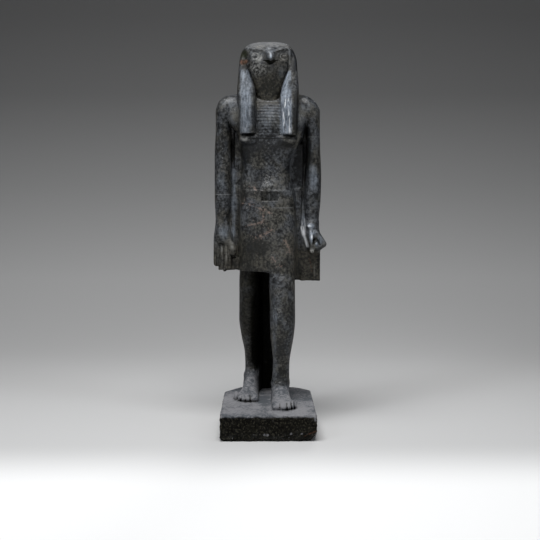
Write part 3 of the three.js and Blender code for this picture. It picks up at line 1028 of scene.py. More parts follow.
def joined(tree, operation, values):
    # several values multiplied or added in turn
    total = values[0]
    for value in values[1:]:
        total = maths(tree, operation, total, value)
    return total


def smoothStep(tree, value, low, high):
    inputs = {"Value": value, "From Min": low, "From Max": high}
    return node(tree, "ShaderNodeMapRange", inputs, interpolation_type="SMOOTHSTEP")


# Chisel and weather marks: the collar's rows, rough sides, gentle waves and pits, in metres

weather = {
    "Row Low": (collar["low"] + plinthSize["height"]) * mm,
    "Row Pitch": collar["pitch"] * mm,
    "Row Rise": collar["rise"] * mm,
    "Rough Depth": 0.0075,
    "Rough Size": 0.026,
    "Wave Depth": 0.0011,
    "Wave Size": 0.050,
    "Pit Depth": 0.0028,
    "Pit Size": 0.017,
    "Seed": 7.0,
}


def weatherTree():
    tree = bpy.data.node_groups.new("chiselAndWeather", "GeometryNodeTree")
    face = tree.interface
    face.new_socket("Geometry", in_out="OUTPUT", socket_type="NodeSocketGeometry")
    face.new_socket("Geometry", in_out="INPUT", socket_type="NodeSocketGeometry")
    for name, value in weather.items():
        face.new_socket(name, in_out="INPUT", socket_type="NodeSocketFloat").default_value = value
    face.new_socket("Stone", in_out="INPUT", socket_type="NodeSocketMaterial")
    given = tree.nodes.new("NodeGroupInput").outputs

    def area(name):
        return node(tree, "GeometryNodeInputNamedAttribute", {"Name": name}, data_type="FLOAT")

    def noise(size, detail):
        scale = maths(tree, "DIVIDE", 1.0, given[size])
        inputs = {"W": given["Seed"], "Scale": scale, "Detail": detail}
        value = node(tree, "ShaderNodeTexNoise", inputs, noise_dimensions="4D")
        return maths(tree, "MULTIPLY", maths(tree, "SUBTRACT", value, 0.5), 2.0)

    height = node(tree, "ShaderNodeSeparateXYZ", {0: node(tree, "GeometryNodeInputPosition")}, 2)
    above = maths(tree, "SUBTRACT", height, given["Row Low"])
    phase = maths(tree, "FRACT", maths(tree, "DIVIDE", above, given["Row Pitch"]))
    rising, falling = smoothStep(tree, phase, 0.0, 0.22), smoothStep(tree, phase, 1.0, 0.84)
    row = maths(tree, "MULTIPLY", rising, falling)
    pit = smoothStep(tree, noise("Pit Size", 2.0), 0.16, 0.50)
    parts = [
        (area("collarArea"), given["Row Rise"], row),
        (area("roughArea"), given["Rough Depth"], noise("Rough Size", 4.0)),
        (area("waveArea"), given["Wave Depth"], noise("Wave Size", 2.0)),
        (area("pitArea"), given["Pit Depth"], maths(tree, "MULTIPLY", pit, -1.0)),
    ]
    total = joined(tree, "ADD", [joined(tree, "MULTIPLY", part) for part in parts])
    normal = node(tree, "GeometryNodeInputNormal")
    offset = node(tree, "ShaderNodeVectorMath", {0: normal, "Scale": total}, operation="SCALE")
    moved = node(tree, "GeometryNodeSetPosition", {"Geometry": given["Geometry"], "Offset": offset})
    real = node(tree, "GeometryNodeRealizeInstances", {"Geometry": moved})
    done = node(tree, "GeometryNodeSetMaterial", {"Geometry": real, "Material": given["Stone"]})
    tree.links.new(done, tree.nodes.new("NodeGroupOutput").inputs["Geometry"])
    return tree


def markAreas(mesh, points):
    # where each kind of mark works
    x, y, h = points.T
    chest = between(collar["right"], collar["left"], x, 1.5) * fade(125, 105, y)
    store(mesh, "collarArea", chest * between(collar["low"], collar["high"], h, 2))
    sides = fade(-1, -9, h)
    brokenHand = between(-250, -125, x, 4) * fade(600, 588, h) * fade(560, 570, h)
    panelFoot = between(100, 250, x, 4) * between(520, 534, h, 5)
    store(mesh, "roughArea", np.clip(sides + 0.7 * brokenHand + 0.4 * panelFoot, 0, 1))
    top = fade(-12, -3, h) * fade(10, 4, h)
    outerPanel = between(150, 250, x, 5) * between(520, 670, h, 15)
    store(mesh, "waveArea", np.clip(0.35 + top + outerPanel, 0, 1))
    fingers = between(-250, -125, x, 4) * between(575, 690, h, 15)
    panel = between(120, 250, x, 4) * between(520, 690, h, 15)
    cheek = fade(1.2, 0.4, np.hypot((x + 52) / 42, (h - 1490) / 42)) * fade(110, 90, y)
    pitted = sides + top * 0.3 + 0.8 * fingers + 0.5 * panel + 0.6 * cheek + 0.08
    store(mesh, "pitArea", np.clip(pitted, 0, 1))


def finished(piece, stone, points, triangles):
    markAreas(piece.data, points)
    modifier = piece.modifiers.new("weather", "NODES")
    modifier.node_group = weatherTree()
    sockets = {
        item.name: item.identifier
        for item in modifier.node_group.interface.items_tree
        if item.in_out == "INPUT"
    }
    for name, value in weather.items():
        modifier[sockets[name]] = value
    modifier[sockets["Stone"]] = stone
    thin = piece.modifiers.new("thin", "DECIMATE")
    thin.ratio = min(1.0, triangles / (2 * len(piece.data.polygons)))
    mesh = bpy.data.meshes.new_from_object(
        piece.evaluated_get(bpy.context.evaluated_depsgraph_get())
    )
    piece.modifiers.clear()
    piece.data = mesh
    for name in ("collarArea", "roughArea", "waveArea", "pitArea"):
        mesh.attributes.remove(mesh.attributes[name])
    mesh.shade_smooth()
    # nothing sinks below the floor that it stands on
    moved = readBack(mesh.vertices, "co")
    moved[:, 2] = np.maximum(moved[:, 2], 0.0)
    mesh.vertices.foreach_set("co", moved.astype(np.float32).ravel())
    mesh.update()


# Stone: dark granodiorite with polished, dusty, brown and sooty zones, and with painted highlights,
# sheen and shade, marked per point

veins = [  # pink veins on the kilt: how much thinner than the widest, then places across and up
    (2.0, [(-92, 978), (-74, 962), (-52, 943)]),
    (2.5, [(-124, 885), (-79, 876), (-43, 862)]),
    (0.0, [(-43, 862), (-8, 853), (10, 840)]),
    (1.5, [(-21, 845), (-19, 800)]),
    (1.0, [(-97, 782), (-61, 791), (-26, 800)]),
    (-1.0, [(-61, 730), (-26, 737), (-3, 755), (19, 768)]),
    (2.0, [(19, 647), (37, 620), (59, 606)]),
    (2.0, [(78, 719), (91, 692), (100, 665)]),
]

marks = {
    "orange": (-107, 1511),  # rusty spot on the headcloth: across, up
    "rustLines": [  # reddish lines low on the plinth's front and down the panel
        [(150, -90), (176, -76), (203, -66)],
        [(190, 640), (195, 605), (203, 570)],
    ],
    "mossy": (-106, 1545, 30),  # greenish spot above it: across, up, reach
    "paintedShine": [  # painted highlight along the left web's edge: how much thinner, then points
        (0, [(158, 770), (161, 757), (165, 740)]),
        (3.5, [(165, 740), (172, 720), (182, 686)]),
        (7, [(157, 800), (158, 772)]),
        (8, [(169, 812), (171, 770), (171, 740)]),
        (10, [(161, 880), (158, 800)]),
        (9.5, [(-171, 795), (-167, 768), (-158, 740), (-149, 713)]),  # beside the right thumb
    ],
    "glints": [(190, 779, 10, 6), (199, 730, 5, 14)],  # painted glints on the left wrist and thumb: place, reach
    "dustRight": 112,  # how high the pale dust goes up each foot
    "dustLeft": 74,
    "far": 60,  # distances end here, mm
}

trunkSideLightAndShade = {  # painted light on the trunk's left edge, painted shade on the web beside it and inside the left arm
    "heights": (968, 1050, 1090, 1154, 1212),
    "edge": (104, 106, 113, 133, 151),
    "armInsideShade": [(183, 1212), (184, 1167), (187, 1131), (189, 1095), (183, 1068), (177, 1040)],
}

creaseShades = [  # thin creases painted dark as shade: points, half width, share, how far back
    ([(163, 1012), (163, 905)], 3.5, 0.7, 180),  # between the left arm and the web
    ([(-131, 920), (-131, 735)], 6.0, 0.5, 175),  # between the right web and the kilt
    ([(232, 616), (232, 552)], 3.0, 0.5, 180),  # down the panel
    ([(-232, 655), (-232, 600)], 4.5, 0.6, 200),  # between the fingers
    ([(-198, 690), (-198, 600)], 3.5, 0.6, 200),
    ([(-178, 640), (-178, 598)], 3.5, 0.5, 200),
]

lines = [  # thin level lines: height, from, to, width, strength (below 0 is dark)
    (921, -250, -128, 3.0, 0.42),
    (1180, 150, 250, 3.0, 0.45),
    (863, 19, 113, 3.0, 0.30),
    (1171, -88, 132, 4.2, -0.9),
    (1183, 40, 150, 2.6, 0.30),
    (167, 30, 92, 3.0, -0.75),
    (194, -100, -30, 3.0, -0.35),
]

polishAndSheenSpots = [  # polished spots, mostly painted highlights: across, up, reach across, reach up, share, how far back
    (-178, 1325, 40, 40, 0.22, 260),  # right shoulder
    (177, 1318, 36, 36, 0.34, 260),  # left shoulder
    (-195, 752, 30, 46, 0.45, 200),  # right wrist
    (-206, 990, 24, 62, 0.35, 200),  # right forearm
    (-153, 900, 15, 190, 0.55, 175),  # right web
    (-158, 745, 12, 42, 0.50, 175),  # beside the right thumb
    (207, 1000, 26, 72, 0.55, 200),  # left forearm
    (196, 780, 19, 12, 1.00, 130),  # left wrist
    (196, 727, 9, 26, 0.95, 110),  # left thumb
    (220, 697, 9, 14, 0.50, 100),  # rod's end
    (236, 716, 18, 26, 0.65, 200),  # fist
    (206, 752, 22, 20, 0.55, 140),  # above the fist
    (162, 780, 12, 80, 0.60, 172),  # left web
    (6, 1265, 54, 80, 0.30, 110),  # collar
    (14, 1536, 6, 20, 0.90, 60),  # beak
    (12, 1560, 26, 16, 0.35, 90),  # above the beak
    (60, 1460, 22, 40, 0.25, 120),  # left cheek
    (50, 375, 30, 40, 0.25, 60),  # left shin
    (30, 300, 14, 260, 0.25, 60),  # its inner side
]


def fieldAt(points):
    # the carved field read between its grid points
    inside = [
        np.clip((points[:, k] - axes[k][0]) / step, 0, len(axes[k]) - 1.001) for k in range(3)
    ]
    base = [places.astype(np.int32) for places in inside]
    part = [places - whole for places, whole in zip(inside, base)]
    total = np.zeros(len(points))
    for i in (0, 1):
        for j in (0, 1):
            for k in (0, 1):
                share = [p if c else 1 - p for p, c in zip(part, (i, j, k))]
                total += share[0] * share[1] * share[2] * field[base[0] + i, base[1] + j, base[2] + k]
    return total


def toLine(x, h, line):
    nearest = np.full(len(x), 1e3)
    for (x1, h1), (x2, h2) in zip(line, line[1:]):
        dx, dh = x2 - x1, h2 - h1
        t = np.clip(((x - x1) * dx + (h - h1) * dh) / (dx * dx + dh * dh), 0, 1)
        nearest = np.minimum(nearest, np.hypot(x - x1 - t * dx, h - h1 - t * dh))
    return nearest


# broad light and dark patches of tone, some of them painted highlights and painted shade,
# named by the figure's own right and left: across, up, reach across, reach up, tone, and how far back
toneAndLightPatches = [
    (-178, 1327, 32, 32, 0.2, 260),  # right shoulder, painted highlight
    (177, 1318, 27, 27, 0.1, 260),  # left shoulder, painted highlight
    (-206, 1135, 18, 73, -0.5, 200),  # right upper arm
    (-104, 1173, 20, 16, 3.0, 110),  # right breast, painted highlight
    (99, 1165, 27, 13, 1.2, 110),  # left breast, painted highlight
    (-25, 1134, 99, 22, -0.7, 110),  # painted shade under the breasts
    (76, 1143, 36, 18, -1.7, 110),  # painted shade under the left breast
    (-92, 1110, 38, 58, -0.9, 140),  # trunk, right half, painted shade
    (-39, 1076, 27, 63, 0.3, 110),  # bluish part of the trunk
    (1, 974, 22, 31, 0.3, 110),  # belly, painted highlight
    (64, 22, 42, 22, 1.2, -110),  # left toes
    (60, 62, 44, 30, -0.7, 60),  # left foot
    (-88, 60, 40, 30, -0.6, 200),  # right foot
    (-21, 996, 54, 40, -0.6, 110),  # round the belly
    (-79, 943, 36, 27, -1.3, 110),  # waist, right half
    (-119, 1085, 18, 63, -0.8, 140),  # trunk's right side, painted shade
    (104, 1085, 18, 54, -0.3, 140),  # trunk's left side
    (1, 1060, 18, 50, 0.1, 110),  # breastbone
    (-206, 860, 23, 41, -0.4, 200),  # right wrist
    (-216, 715, 18, 36, -0.5, 200),  # right hand's outer edge
    (205, 1130, 18, 54, 0.2, 200),  # left upper arm
    (200, 1256, 27, 45, -0.2, 200),  # left arm, high
    (228, 680, 23, 18, -0.6, 200),  # fist, low
    (218, 744, 18, 11, 0.3, 130),  # groove over the fist
    (77, 916, 31, 22, -0.3, 110),  # belt, left half
    (-165, 720, 20, 50, 0.9, 175),  # right thumb, painted highlight
    (201, 669, 12, 13, 3.4, 110),  # left thumb's tip, painted highlight
    (0, 964, 9, 26, 1.6, 110),  # painted highlight on the belly
    (-26, 800, 40, 45, 0.2, 110),  # pale part of the kilt
    (-48, 689, 67, 36, -1.4, 110),  # dark part of the kilt
    (-89, 620, 45, 31, -0.5, 140),  # kilt, low on the right
    (59, 463, 31, 53, 0.5, 110),  # below the left knee
    (72, 355, 22, 22, 0.8, 110),  # left shin's pale part
    (54, 373, 22, 31, -0.6, 110),  # its bluish part
    (59, 245, 34, 62, -0.9, 110),  # left shin, low
    (64, 125, 31, 35, -1.2, 110),  # left ankle
    (-52, 1491, 36, 36, -0.2, 120),  # right cheek
    (-34, 1531, 14, 31, 2.6, 120),  # under the right eye
    (68, 1531, 22, 22, 0.5, 120),  # left eye's outer side
    (6, 1396, 45, 54, -0.9, 120),  # painted shade on the throat
    (41, 1457, 22, 27, -0.2, 120),  # left cheek
    (126, 1275, 13, 89, -2.6, 180),  # painted shade on the left lappet's outer edge
    (118, 1520, 23, 54, -1.0, 200),  # headcloth, left side
    (-110, 1547, 18, 36, -2.2, 200),  # headcloth, right side
    (-96, 1494, 18, 23, -1.0, 120),  # the same, lower down
    (-107, 1510, 18, 16, -0.3, 200),  # round the rusty spot
    (-61, 1262, 11, 72, -0.7, 120),  # painted shade on the right lappet's inner edge
    (143, 585, 14, 45, -1.0, 220),  # painted shade on the panel's inner edge
    (213, 580, 6, 38, 1.3, 160),  # ridge on the panel
    (-60, 905, 28, 24, 0.9, 110),  # belt, beside the buckle
    (-209, 668, 6, 26, 1.6, 200),  # painted highlights on the tops of the right fingers
    (-187, 645, 6, 50, 1.4, 200),
    (-160, 678, 14, 30, 1.1, 200),
    (-144, 675, 7, 24, 0.9, 200),  # right thumb's side
    (-155, 1263, 23, 36, 1.2, 160),  # chest, right edge
    (149, 1264, 23, 36, 1.6, 160),  # chest, left edge
    (-148, 963, 18, 137, 0.4, 175),  # right web
    (160, 1060, 30, 110, -1.3, 215),  # left web, high, painted shade
    (-150, 1130, 22, 80, -0.8, 215),  # right web, high
    (6, 1265, 54, 80, 0.5, 110),  # collar
]

# patches of tone and painted shadow on the plinth's top: across, in depth, reach across, reach in
# depth, tone
topTonesAndShade = [
    (-22, -11, 36, 141, -1.7),  # painted shadow along the middle path
    (-97, -122, 35, 67, -0.5),  # beside the right toes
    (-156, -230, 52, 64, 0.8),  # front right, pale
    (137, -232, 52, 64, 0.6),  # front left, pale
    (148, 105, 41, 122, 0.5),  # brown, back left
    (-177, 108, 27, 97, 0.2),  # back right
    (191, -81, 13, 138, 0.4),  # left edge
    (-26, 204, 28, 75, -0.8),  # painted shadow between the heels
]

chips = [  # pale fresh chips on the plinth's front, given as the patches are
    (-10, -83, 16, 7, 0.95, -250),
    (95, -78, 9, 7, 1.00, -250),
    (142, -77, 9, 6, 0.85, -250),
    (-60, -80, 8, 5, 0.70, -250),
    (200, -12, 14, 18, 0.90, -250),
    (-203, -8, 8, 10, 0.70, -250),
    (-80, -6, 22, 7, 0.60, -250),
]

speckled = [  # where pale crystals lie close together, given as the patches are
    (1, 983, 40, 54, 0.7, 110),  # belly
    (-79, 951, 40, 31, 0.3, 110),  # waist
    (-50, 1486, 40, 42, 1.1, 120),  # right cheek
    (-12, 1478, 34, 30, 0.8, 120),  # cheek, beside the beak
    (41, 400, 27, 27, 0.9, 60),  # left shin
    (50, 490, 27, 35, 0.5, 60),  # left knee
    (72, 1262, 18, 71, 0.5, 110),  # left lappet
    (-198, 642, 41, 41, 0.3, 200),  # right fingers
    (32, 641, 31, 31, 0.5, 110),  # kilt, low on the left
]


def spots(places, x, y, h):
    total = np.zeros(len(x))
    for px, ph, acrossReach, upReach, share, back in places:
        away = np.hypot((x - px) / acrossReach, (h - ph) / upReach)
        total += share * fade(1.3, 0.2, away) * fade(back + 15, back - 15, y)
    return total


def lappetPolishAndSheen(x, h):
    # painted highlight on the polished lappets, brightest down the middle of each
    right = fade(-134, -112, x) * fade(-54, -88, x) * between(1192, 1478, h, 12)
    inner = 0.25 * fade(-90, -70, x) * fade(1330, 1280, h)
    right = right * (0.70 - 0.08 * fade(1300, 1400, h) - inner)
    left = between(56, 104, x, 8) * between(1188, 1470, h, 12)
    dull = 0.6 * between(84, 150, x, 12) * between(1385, 1430, h, 22)
    left = (1.0 + 0.12 * fade(1400, 1360, h)) * left * (1 - dull)
    return right + left


def crust(x, y, h, nz, inOpening):
    # the brown face, lower kilt, panel, right fingers and right leg
    notBeak = 1 - fade(54, 46, y) * between(1505, 1590, h, 3)
    face = inOpening * between(1322, 1570, h, 4) * fade(122, 112, y) * notBeak * fade(0.7, 0.3, nz)
    face = face * (0.30 + 0.65 * fade(1490, 1430, h))
    kilt = between(-140, 140, x, 6) * fade(880, 640, h) * fade(560, 580, h) * 0.65
    panel = fade(118, 126, x) * fade(690, 650, h) * fade(520, 530, h)
    fingers = fade(-130, -140, x) * fade(730, 650, h) * 0.8
    legs = 0.45 * fade(0, 8, h) * fade(575, 560, h) * fade(-30, -40, x)
    return face + kilt + panel + fingers + legs


def toeGapShade(x, y, h):
    # painted shade in the gaps between the toes
    total = np.zeros(len(x))
    for foot in (rightFootShape, leftFootShape):
        for i, (edge, tip) in enumerate(gapsOf(foot)):
            share = foot["gapShadeShare"] if i else 1
            total += share * fade(3.5, 1.5, toLine(x, y, [(edge, tip), (edge, tip + 24)]))
    return np.clip(total, 0, 1) * fade(3, 6, h) * fade(60, 50, h)


def hollowShadeZone(x, y, h, open8, open25, inOpening):
    # how closed in a point is, which the material paints dark as shade; less so in the face, beside
    # the arms and on the collar
    besideArms = between(600, 1030, h, 20) * between(118, 190, np.abs(x), 6) * fade(185, 170, y)
    onCollar = between(collar["right"] - 6, collar["left"] + 6, x, 4) * fade(140, 120, y)
    hollowShade = np.clip(1.1 - 0.6 * open8 - 0.5 * open25, 0, 1)
    hollowShade *= 1 - 0.5 * inOpening * fade(120, 110, y)
    hollowShade *= 1 - 0.55 * besideArms
    return hollowShade * (1 - 0.5 * onCollar * between(collar["low"], collar["high"], h, 4))


def toneAndLightZone(x, y, h, besideTrunk, plinthTop):
    # lighter above 0, darker below: patches, the hem, round the eyes, and painted light and shade at
    # the trunk's left side
    toneAndLight = spots(toneAndLightPatches, x, y, h)
    beyond = np.maximum(edgeOfOpening(h, 1) - x, x - edgeOfOpening(h, 2))
    hem = between(0, 9, beyond, 1.5) * fade(140, 120, y) * between(1385, 1574, h, 4)
    toneAndLight += hem * (0.2 + 1.3 * (x > 0))
    for side, ring in (("right", 2.2), ("left", 0.7)):
        around = np.hypot(x - eyes[side][0], h - eyes[side][1])
        toneAndLight += ring * between(9, 17, around, 2.5) * fade(90, 80, y)
    # painted highlight along the trunk's left edge, painted shade on the web beyond it and inside the
    # left arm
    past = x - through(trunkSideLightAndShade["heights"], trunkSideLightAndShade["edge"], h)
    shadow = 0.5 * fade(2, 9, past) * fade(168, 160, x)
    toneAndLight += besideTrunk * (0.9 * fade(7, 2, np.abs(past)) - shadow)
    fromArm = toLine(x, h, trunkSideLightAndShade["armInsideShade"])
    toneAndLight -= 1.2 * fade(14, 6, fromArm) * between(90, 185, y, 6)
    for px, py, acrossReach, backReach, value in topTonesAndShade:
        away = np.hypot((x - px) / acrossReach, (y - py) / backReach)
        toneAndLight += value * plinthTop * fade(1.3, 0.2, away)
    return toneAndLight


def dustZone(x, y, h, plinthTop):
    # pale dust on the plinth and the feet, and along the plinth's worn front edge
    rightFoot = fade(-36, -42, x) * fade(300, 250, y) * fade(-3, 3, h)
    rightFoot = rightFoot * fade(marks["dustRight"] + 24, marks["dustRight"] - 24, h)
    leftFoot = fade(5, 12, x) * fade(120, 90, y) * fade(-3, 3, h)
    leftFoot = leftFoot * fade(marks["dustLeft"] + 20, marks["dustLeft"] - 20, h)
    worn = 0.62 * fade(-15, -4, h) * fade(2, -2, h) * fade(-300, -322, y)
    return np.clip(plinthTop + 0.85 * rightFoot + leftFoot + worn, 0, 1)


def mouthShadeZone(x, y, h):
    # painted shade in the cleft under the beak
    half = (mouth["left"] - mouth["right"]) / 2
    inward = np.clip(1 - np.abs(x - mouth["right"] - half) / half, 0, 1)
    lower = mouth["top"] - 3 - mouth["drop"] * inward ** 2.1
    inMouth = fade(-1, 1.5, mouth["top"] - h) * fade(-1.5, 1.5, h - lower) * (inward > 0)
    return inMouth * fade(80, 70, y) * fade(38, 44, y)


def sootAndShadeZone(x, y, h):
    # painted shade deep between the limbs, on the pillar's face, on the right leg under the kilt, in
    # the mouth's cleft, under the brows, in the fist's hollow and in the creases; darker pupils and
    # buckle's panes too
    deepShade = fade(-84, -58, x) * fade(26, 14, x) * fade(120, 170, y) * between(0, 590, h, 6)
    deepShade = deepShade * (0.55 + 0.45 * fade(140, 320, h)) * fade(302, 292, y)
    pillarShade = 0.5 * between(-72, 80, x, 3) * between(0, 600, h, 6)
    pillarShade = pillarShade * fade(255, 275, y) * fade(300, 290, y)
    rightLegShade = fade(110, 150, h) * fade(590, 560, h) * fade(-30, -38, x)
    rightLegShade = rightLegShade * (0.62 + 0.25 * fade(-95, -60, x) - 0.36 * fade(330, 160, h))
    brows = sum(
        0.6 * fade(5, 2, toLine(x, h, line)) * fade(100, 90, y) for line in eyes["browShade"]
    )
    fistLine = [(px, ph) for px, _, ph in fistShape["hollow"]]
    hollow = fade(6, 3, toLine(x, h, fistLine)) * fade(120, 112, y)
    pupils = sum(
        share * fade(8, 4, np.hypot(x - eyes[side][0], h - eyes[side][1])) * fade(90, 80, y)
        for side, share in (("right", 0.35), ("left", 0.3))
    )
    creaseShade = sum(
        share * fade(wide, 0.4 * wide, toLine(x, h, line)) * fade(back, back - 10, y)
        for line, wide, share, back in creaseShades
    )
    panes = between(buckle["right"] + 5, buckle["left"] - 5, x, 1.5)
    panes = panes * between(893, 935, h, 1.5) * fade(70, 66, y)
    limbs = deepShade + pillarShade + rightLegShade
    return limbs + mouthShadeZone(x, y, h) + 0.75 * hollow + brows + pupils + 0.55 * panes + creaseShade


def distanceZones(x, y, h):
    # distances in mm that the material turns into veins, a rusty spot, and painted highlights along
    # an edge and on glints
    far = marks["far"]
    vein = np.min([thin + toLine(x, h, line) for thin, line in veins], axis=0)
    vein = vein + np.where((h > 560) & (h < 960) & (y < 110), 0, far)
    orange = np.hypot(x - marks["orange"][0], 1.5 * (h - marks["orange"][1]))
    orange = orange + np.where(y < 140, 0, far)
    for line in marks["rustLines"]:
        rusty = 14 + 2.5 * toLine(x, h, line) + np.where(y < 150, 0, far)
        orange = np.minimum(orange, rusty)
    paintedShine = np.min([thin + toLine(x, h, line) for thin, line in marks["paintedShine"]], axis=0)
    paintedShine = paintedShine + np.where(y < 172, 0, far)
    for gx, gh, wide, high in marks["glints"]:
        glint = 4 + 7 * np.hypot((x - gx) / wide, (h - gh) / high) + np.where(y < 140, 0, far)
        paintedShine = np.minimum(paintedShine, glint)
    named = {"veinDistance": vein, "orangeDistance": orange, "paintedShineDistance": paintedShine}
    return {name: np.minimum(far, away) for name, away in named.items()}


def zoneValues(x, y, h, normals):
    # what the material reads at each point, mostly from 0 to 1
    points, nz = np.stack([x, y, h], axis=1), normals[:, 2]
    open8, open25 = (fieldAt(points + normals * reach) / reach for reach in (8, 25))
    inOpening = fade(-1, 3, x - edgeOfOpening(h, 1)) * fade(-1, 3, edgeOfOpening(h, 2) - x)
    besideTrunk = between(985, 1205, h, 15) * between(60, 185, y, 6)
    onBelt = between(878, 950, h, 3) * (1 - between(buckle["right"], buckle["left"], x, 2))
    # convex edges, painted paler as wear and as a highlight
    ridge = np.clip(1 + fieldAt(points - normals * 5) / 5, 0, 1) * (1 - 0.95 * onBelt)
    plinthTop = fade(-10, -3, h) * fade(14, 6, h) * fade(0.35, 0.8, nz)
    sides = fade(-1, -7, h) * fade(0.9, 0.4, nz)
    # where painted highlight streaks cross the polished stone
    sheenStreaks = between(1190, 1350, h, 20) * fade(112, 98, y) * (1 - inOpening) * (np.abs(x) < 150)
    rows = between(collar["right"], collar["left"], x, 1.5) * fade(140, 120, y)
    lappets = lappetPolishAndSheen(x, h) * fade(112, 98, y) * (1 - inOpening * fade(1340, 1350, h))
    mossX, mossUp, mossReach = marks["mossy"]
    moss = fade(mossReach, 4, np.hypot(x - mossX, h - mossUp))
    gaps = toeGapShade(x, y, h)
    zones = {
        "hollowShade": hollowShadeZone(x, y, h, open8, open25, inOpening),
        "ridge": ridge * (1 - besideTrunk * between(150, 172, x, 3)),
        "sheenStreaks": sheenStreaks * (0.35 + 0.65 * (x > 0)),
        "toneAndLight": toneAndLightZone(x, y, h, besideTrunk, plinthTop),
        "collar": rows * between(collar["low"] + 4, collar["high"], h, 2),
        "dust": dustZone(x, y, h, plinthTop) * (1 - gaps),
        "film": fade(1550, 1596, h) * fade(0.45, 0.95, nz),
        "front": fade(160, 140, y),
        "coarse": sides,
        "chips": np.clip(spots(chips, x, y, h), 0, 1),
        "moss": moss,
        "speckle": np.clip(spots(speckled, x, y, h) + sides * fade(-60, -95, h), 0, 1),
        "polishAndSheen": np.clip(lappets + spots(polishAndSheenSpots, x, y, h), 0, 1),
        "brown": np.clip(crust(x, y, h, nz, inOpening) + sides + moss, 0, 1),
        # painted shade between the limbs, in creases, hollows and the toes' gaps; real darkness on
        # the plinth's sides and the moss
        "sootAndShade": np.clip(sootAndShadeZone(x, y, h) + 0.85 * sides + 0.75 * moss + 0.6 * gaps, 0, 1),
    }
    return {**zones, **distanceZones(x, y, h)}


def markZones(mesh):
    x, y, h = (readBack(mesh.vertices, "co") * 1000).T
    h = h - plinthSize["height"]
    for name, values in zoneValues(x, y, h, readBack(mesh.vertex_normals, "vector")).items():
        store(mesh, name, values)


stone = {
    "coolDark": (0.018, 0.020, 0.024, 1),
    "coolLight": (0.076, 0.081, 0.088, 1),
    "warmDark": (0.018, 0.018, 0.016, 1),
    "warmLight": (0.074, 0.071, 0.062, 1),
    "crystal": (0.25, 0.25, 0.24, 1),
    # the polished stone's colours, with its painted sheen
    "polishSheenDark": (0.040, 0.048, 0.058, 1),
    "polishSheenLight": (0.27, 0.305, 0.355, 1),
    "pale": (0.235, 0.235, 0.225, 1),
    "coarse": (0.036, 0.033, 0.024, 1),
    "brownDark": (0.010, 0.0095, 0.006, 1),
    "brownDim": (0.018, 0.017, 0.0105, 1),
    "brownLight": (0.062, 0.056, 0.043, 1),
    "dustDark": (0.060, 0.066, 0.075, 1),
    "dustLight": (0.185, 0.185, 0.195, 1),
    "film": (0.150, 0.150, 0.150, 1),
    # the darkest stone, also the colour of painted shade
    "sootAndShade": (0.0022, 0.0022, 0.0018, 1),
    "vein": (0.205, 0.150, 0.126, 1),
    "orange": (0.165, 0.085, 0.058, 1),
    "moss": (0.018, 0.020, 0.012, 1),
    "line": (0.20, 0.205, 0.21, 1),
    # the colour of the painted highlights
    "paintedShine": (0.88, 0.90, 0.93, 1),
    "grain": 88.0,  # pattern scales, per metre
    "mottle": 30.0,
    "patch": 7.0,
    "warmth": 11.0,
    "streak": 85.0,
    "specks": 135.0,
    "blotch": 83.7,
    "sheenStreakNoise": 127.5,
    "gloss": 0.34,
    "bump": 0.0018,  # how deep the grain is, in metres
}


class Pattern:
    # node helpers for one material, all on the object's own coordinates

    def __init__(self, material):
        material.use_nodes = True
        self.tree = material.node_tree
        self.shader = self.tree.nodes["Principled BSDF"]
        self.coords = node(self.tree, "ShaderNodeTexCoord", output=3)
        self.across, self.depth, self.up = (
            node(self.tree, "ShaderNodeSeparateXYZ", {0: self.coords}, k) for k in range(3)
        )

    def give(self, name, value):
        self.tree.links.new(value, self.shader.inputs[name])

    def zone(self, name):
        return node(self.tree, "ShaderNodeAttribute", output=2, attribute_name=name)

    def noise(self, scale, detail, roughness=0.6, stretch=(1, 1, 1), shift=0.0):
        inputs = {"Vector": self.coords, "Scale": stretch, "Location": (shift, shift, shift)}
        moved = node(self.tree, "ShaderNodeMapping", inputs)
        inputs = {"Vector": moved, "Scale": scale, "Detail": detail, "Roughness": roughness}
        return node(self.tree, "ShaderNodeTexNoise", inputs)

    def specks(self, scale, amount, shift=0.0):
        # small uneven spots where a fine pattern is high
        low = maths(self.tree, "SUBTRACT", 0.74, amount)
        return self.rise(self.noise(scale, 1.6, 0.6, shift=shift), low, self.plus(low, 0.09))

    def mix(self, share, a, b):
        made = self.tree.nodes.new("ShaderNodeMix")
        made.data_type = "RGBA"
        for socket, value in zip((made.inputs[0], made.inputs[6], made.inputs[7]), (share, a, b)):
            if isinstance(value, bpy.types.NodeSocket):
                self.tree.links.new(value, socket)
            else:
                socket.default_value = value
        return made.outputs[2]

    def paint(self, colour, over, *shares):
        # one colour over another, as strongly as the shares multiplied say
        over = stone[over] if isinstance(over, str) else over
        return self.mix(self.times(*shares), colour, over)

    def times(self, *values):
        return joined(self.tree, "MULTIPLY", values)

    def plus(self, *values):
        return joined(self.tree, "ADD", values)

    def less(self, share, value):
        # 1 where the value is 0, and lower by the share where it is 1
        return self.plus(1.0, self.times(value, -share))

    def swing(self, value, size):
        # a pattern around 0 instead of around 0.5
        return self.times(maths(self.tree, "SUBTRACT", value, 0.5), size)

    def rise(self, value, low, high):
        return smoothStep(self.tree, value, low, high)

    def breakUp(self, value, pattern, soft=0.25, strength=1.1):
        # a zone whose edge is broken up by a pattern
        return self.rise(self.plus(value, self.swing(pattern, strength)), 0.5 - soft, 0.5 + soft)

    def between(self, value, low, high, soft):
        rising = self.rise(value, low - soft, low + soft)
        return self.times(rising, self.rise(value, high + soft, high - soft))


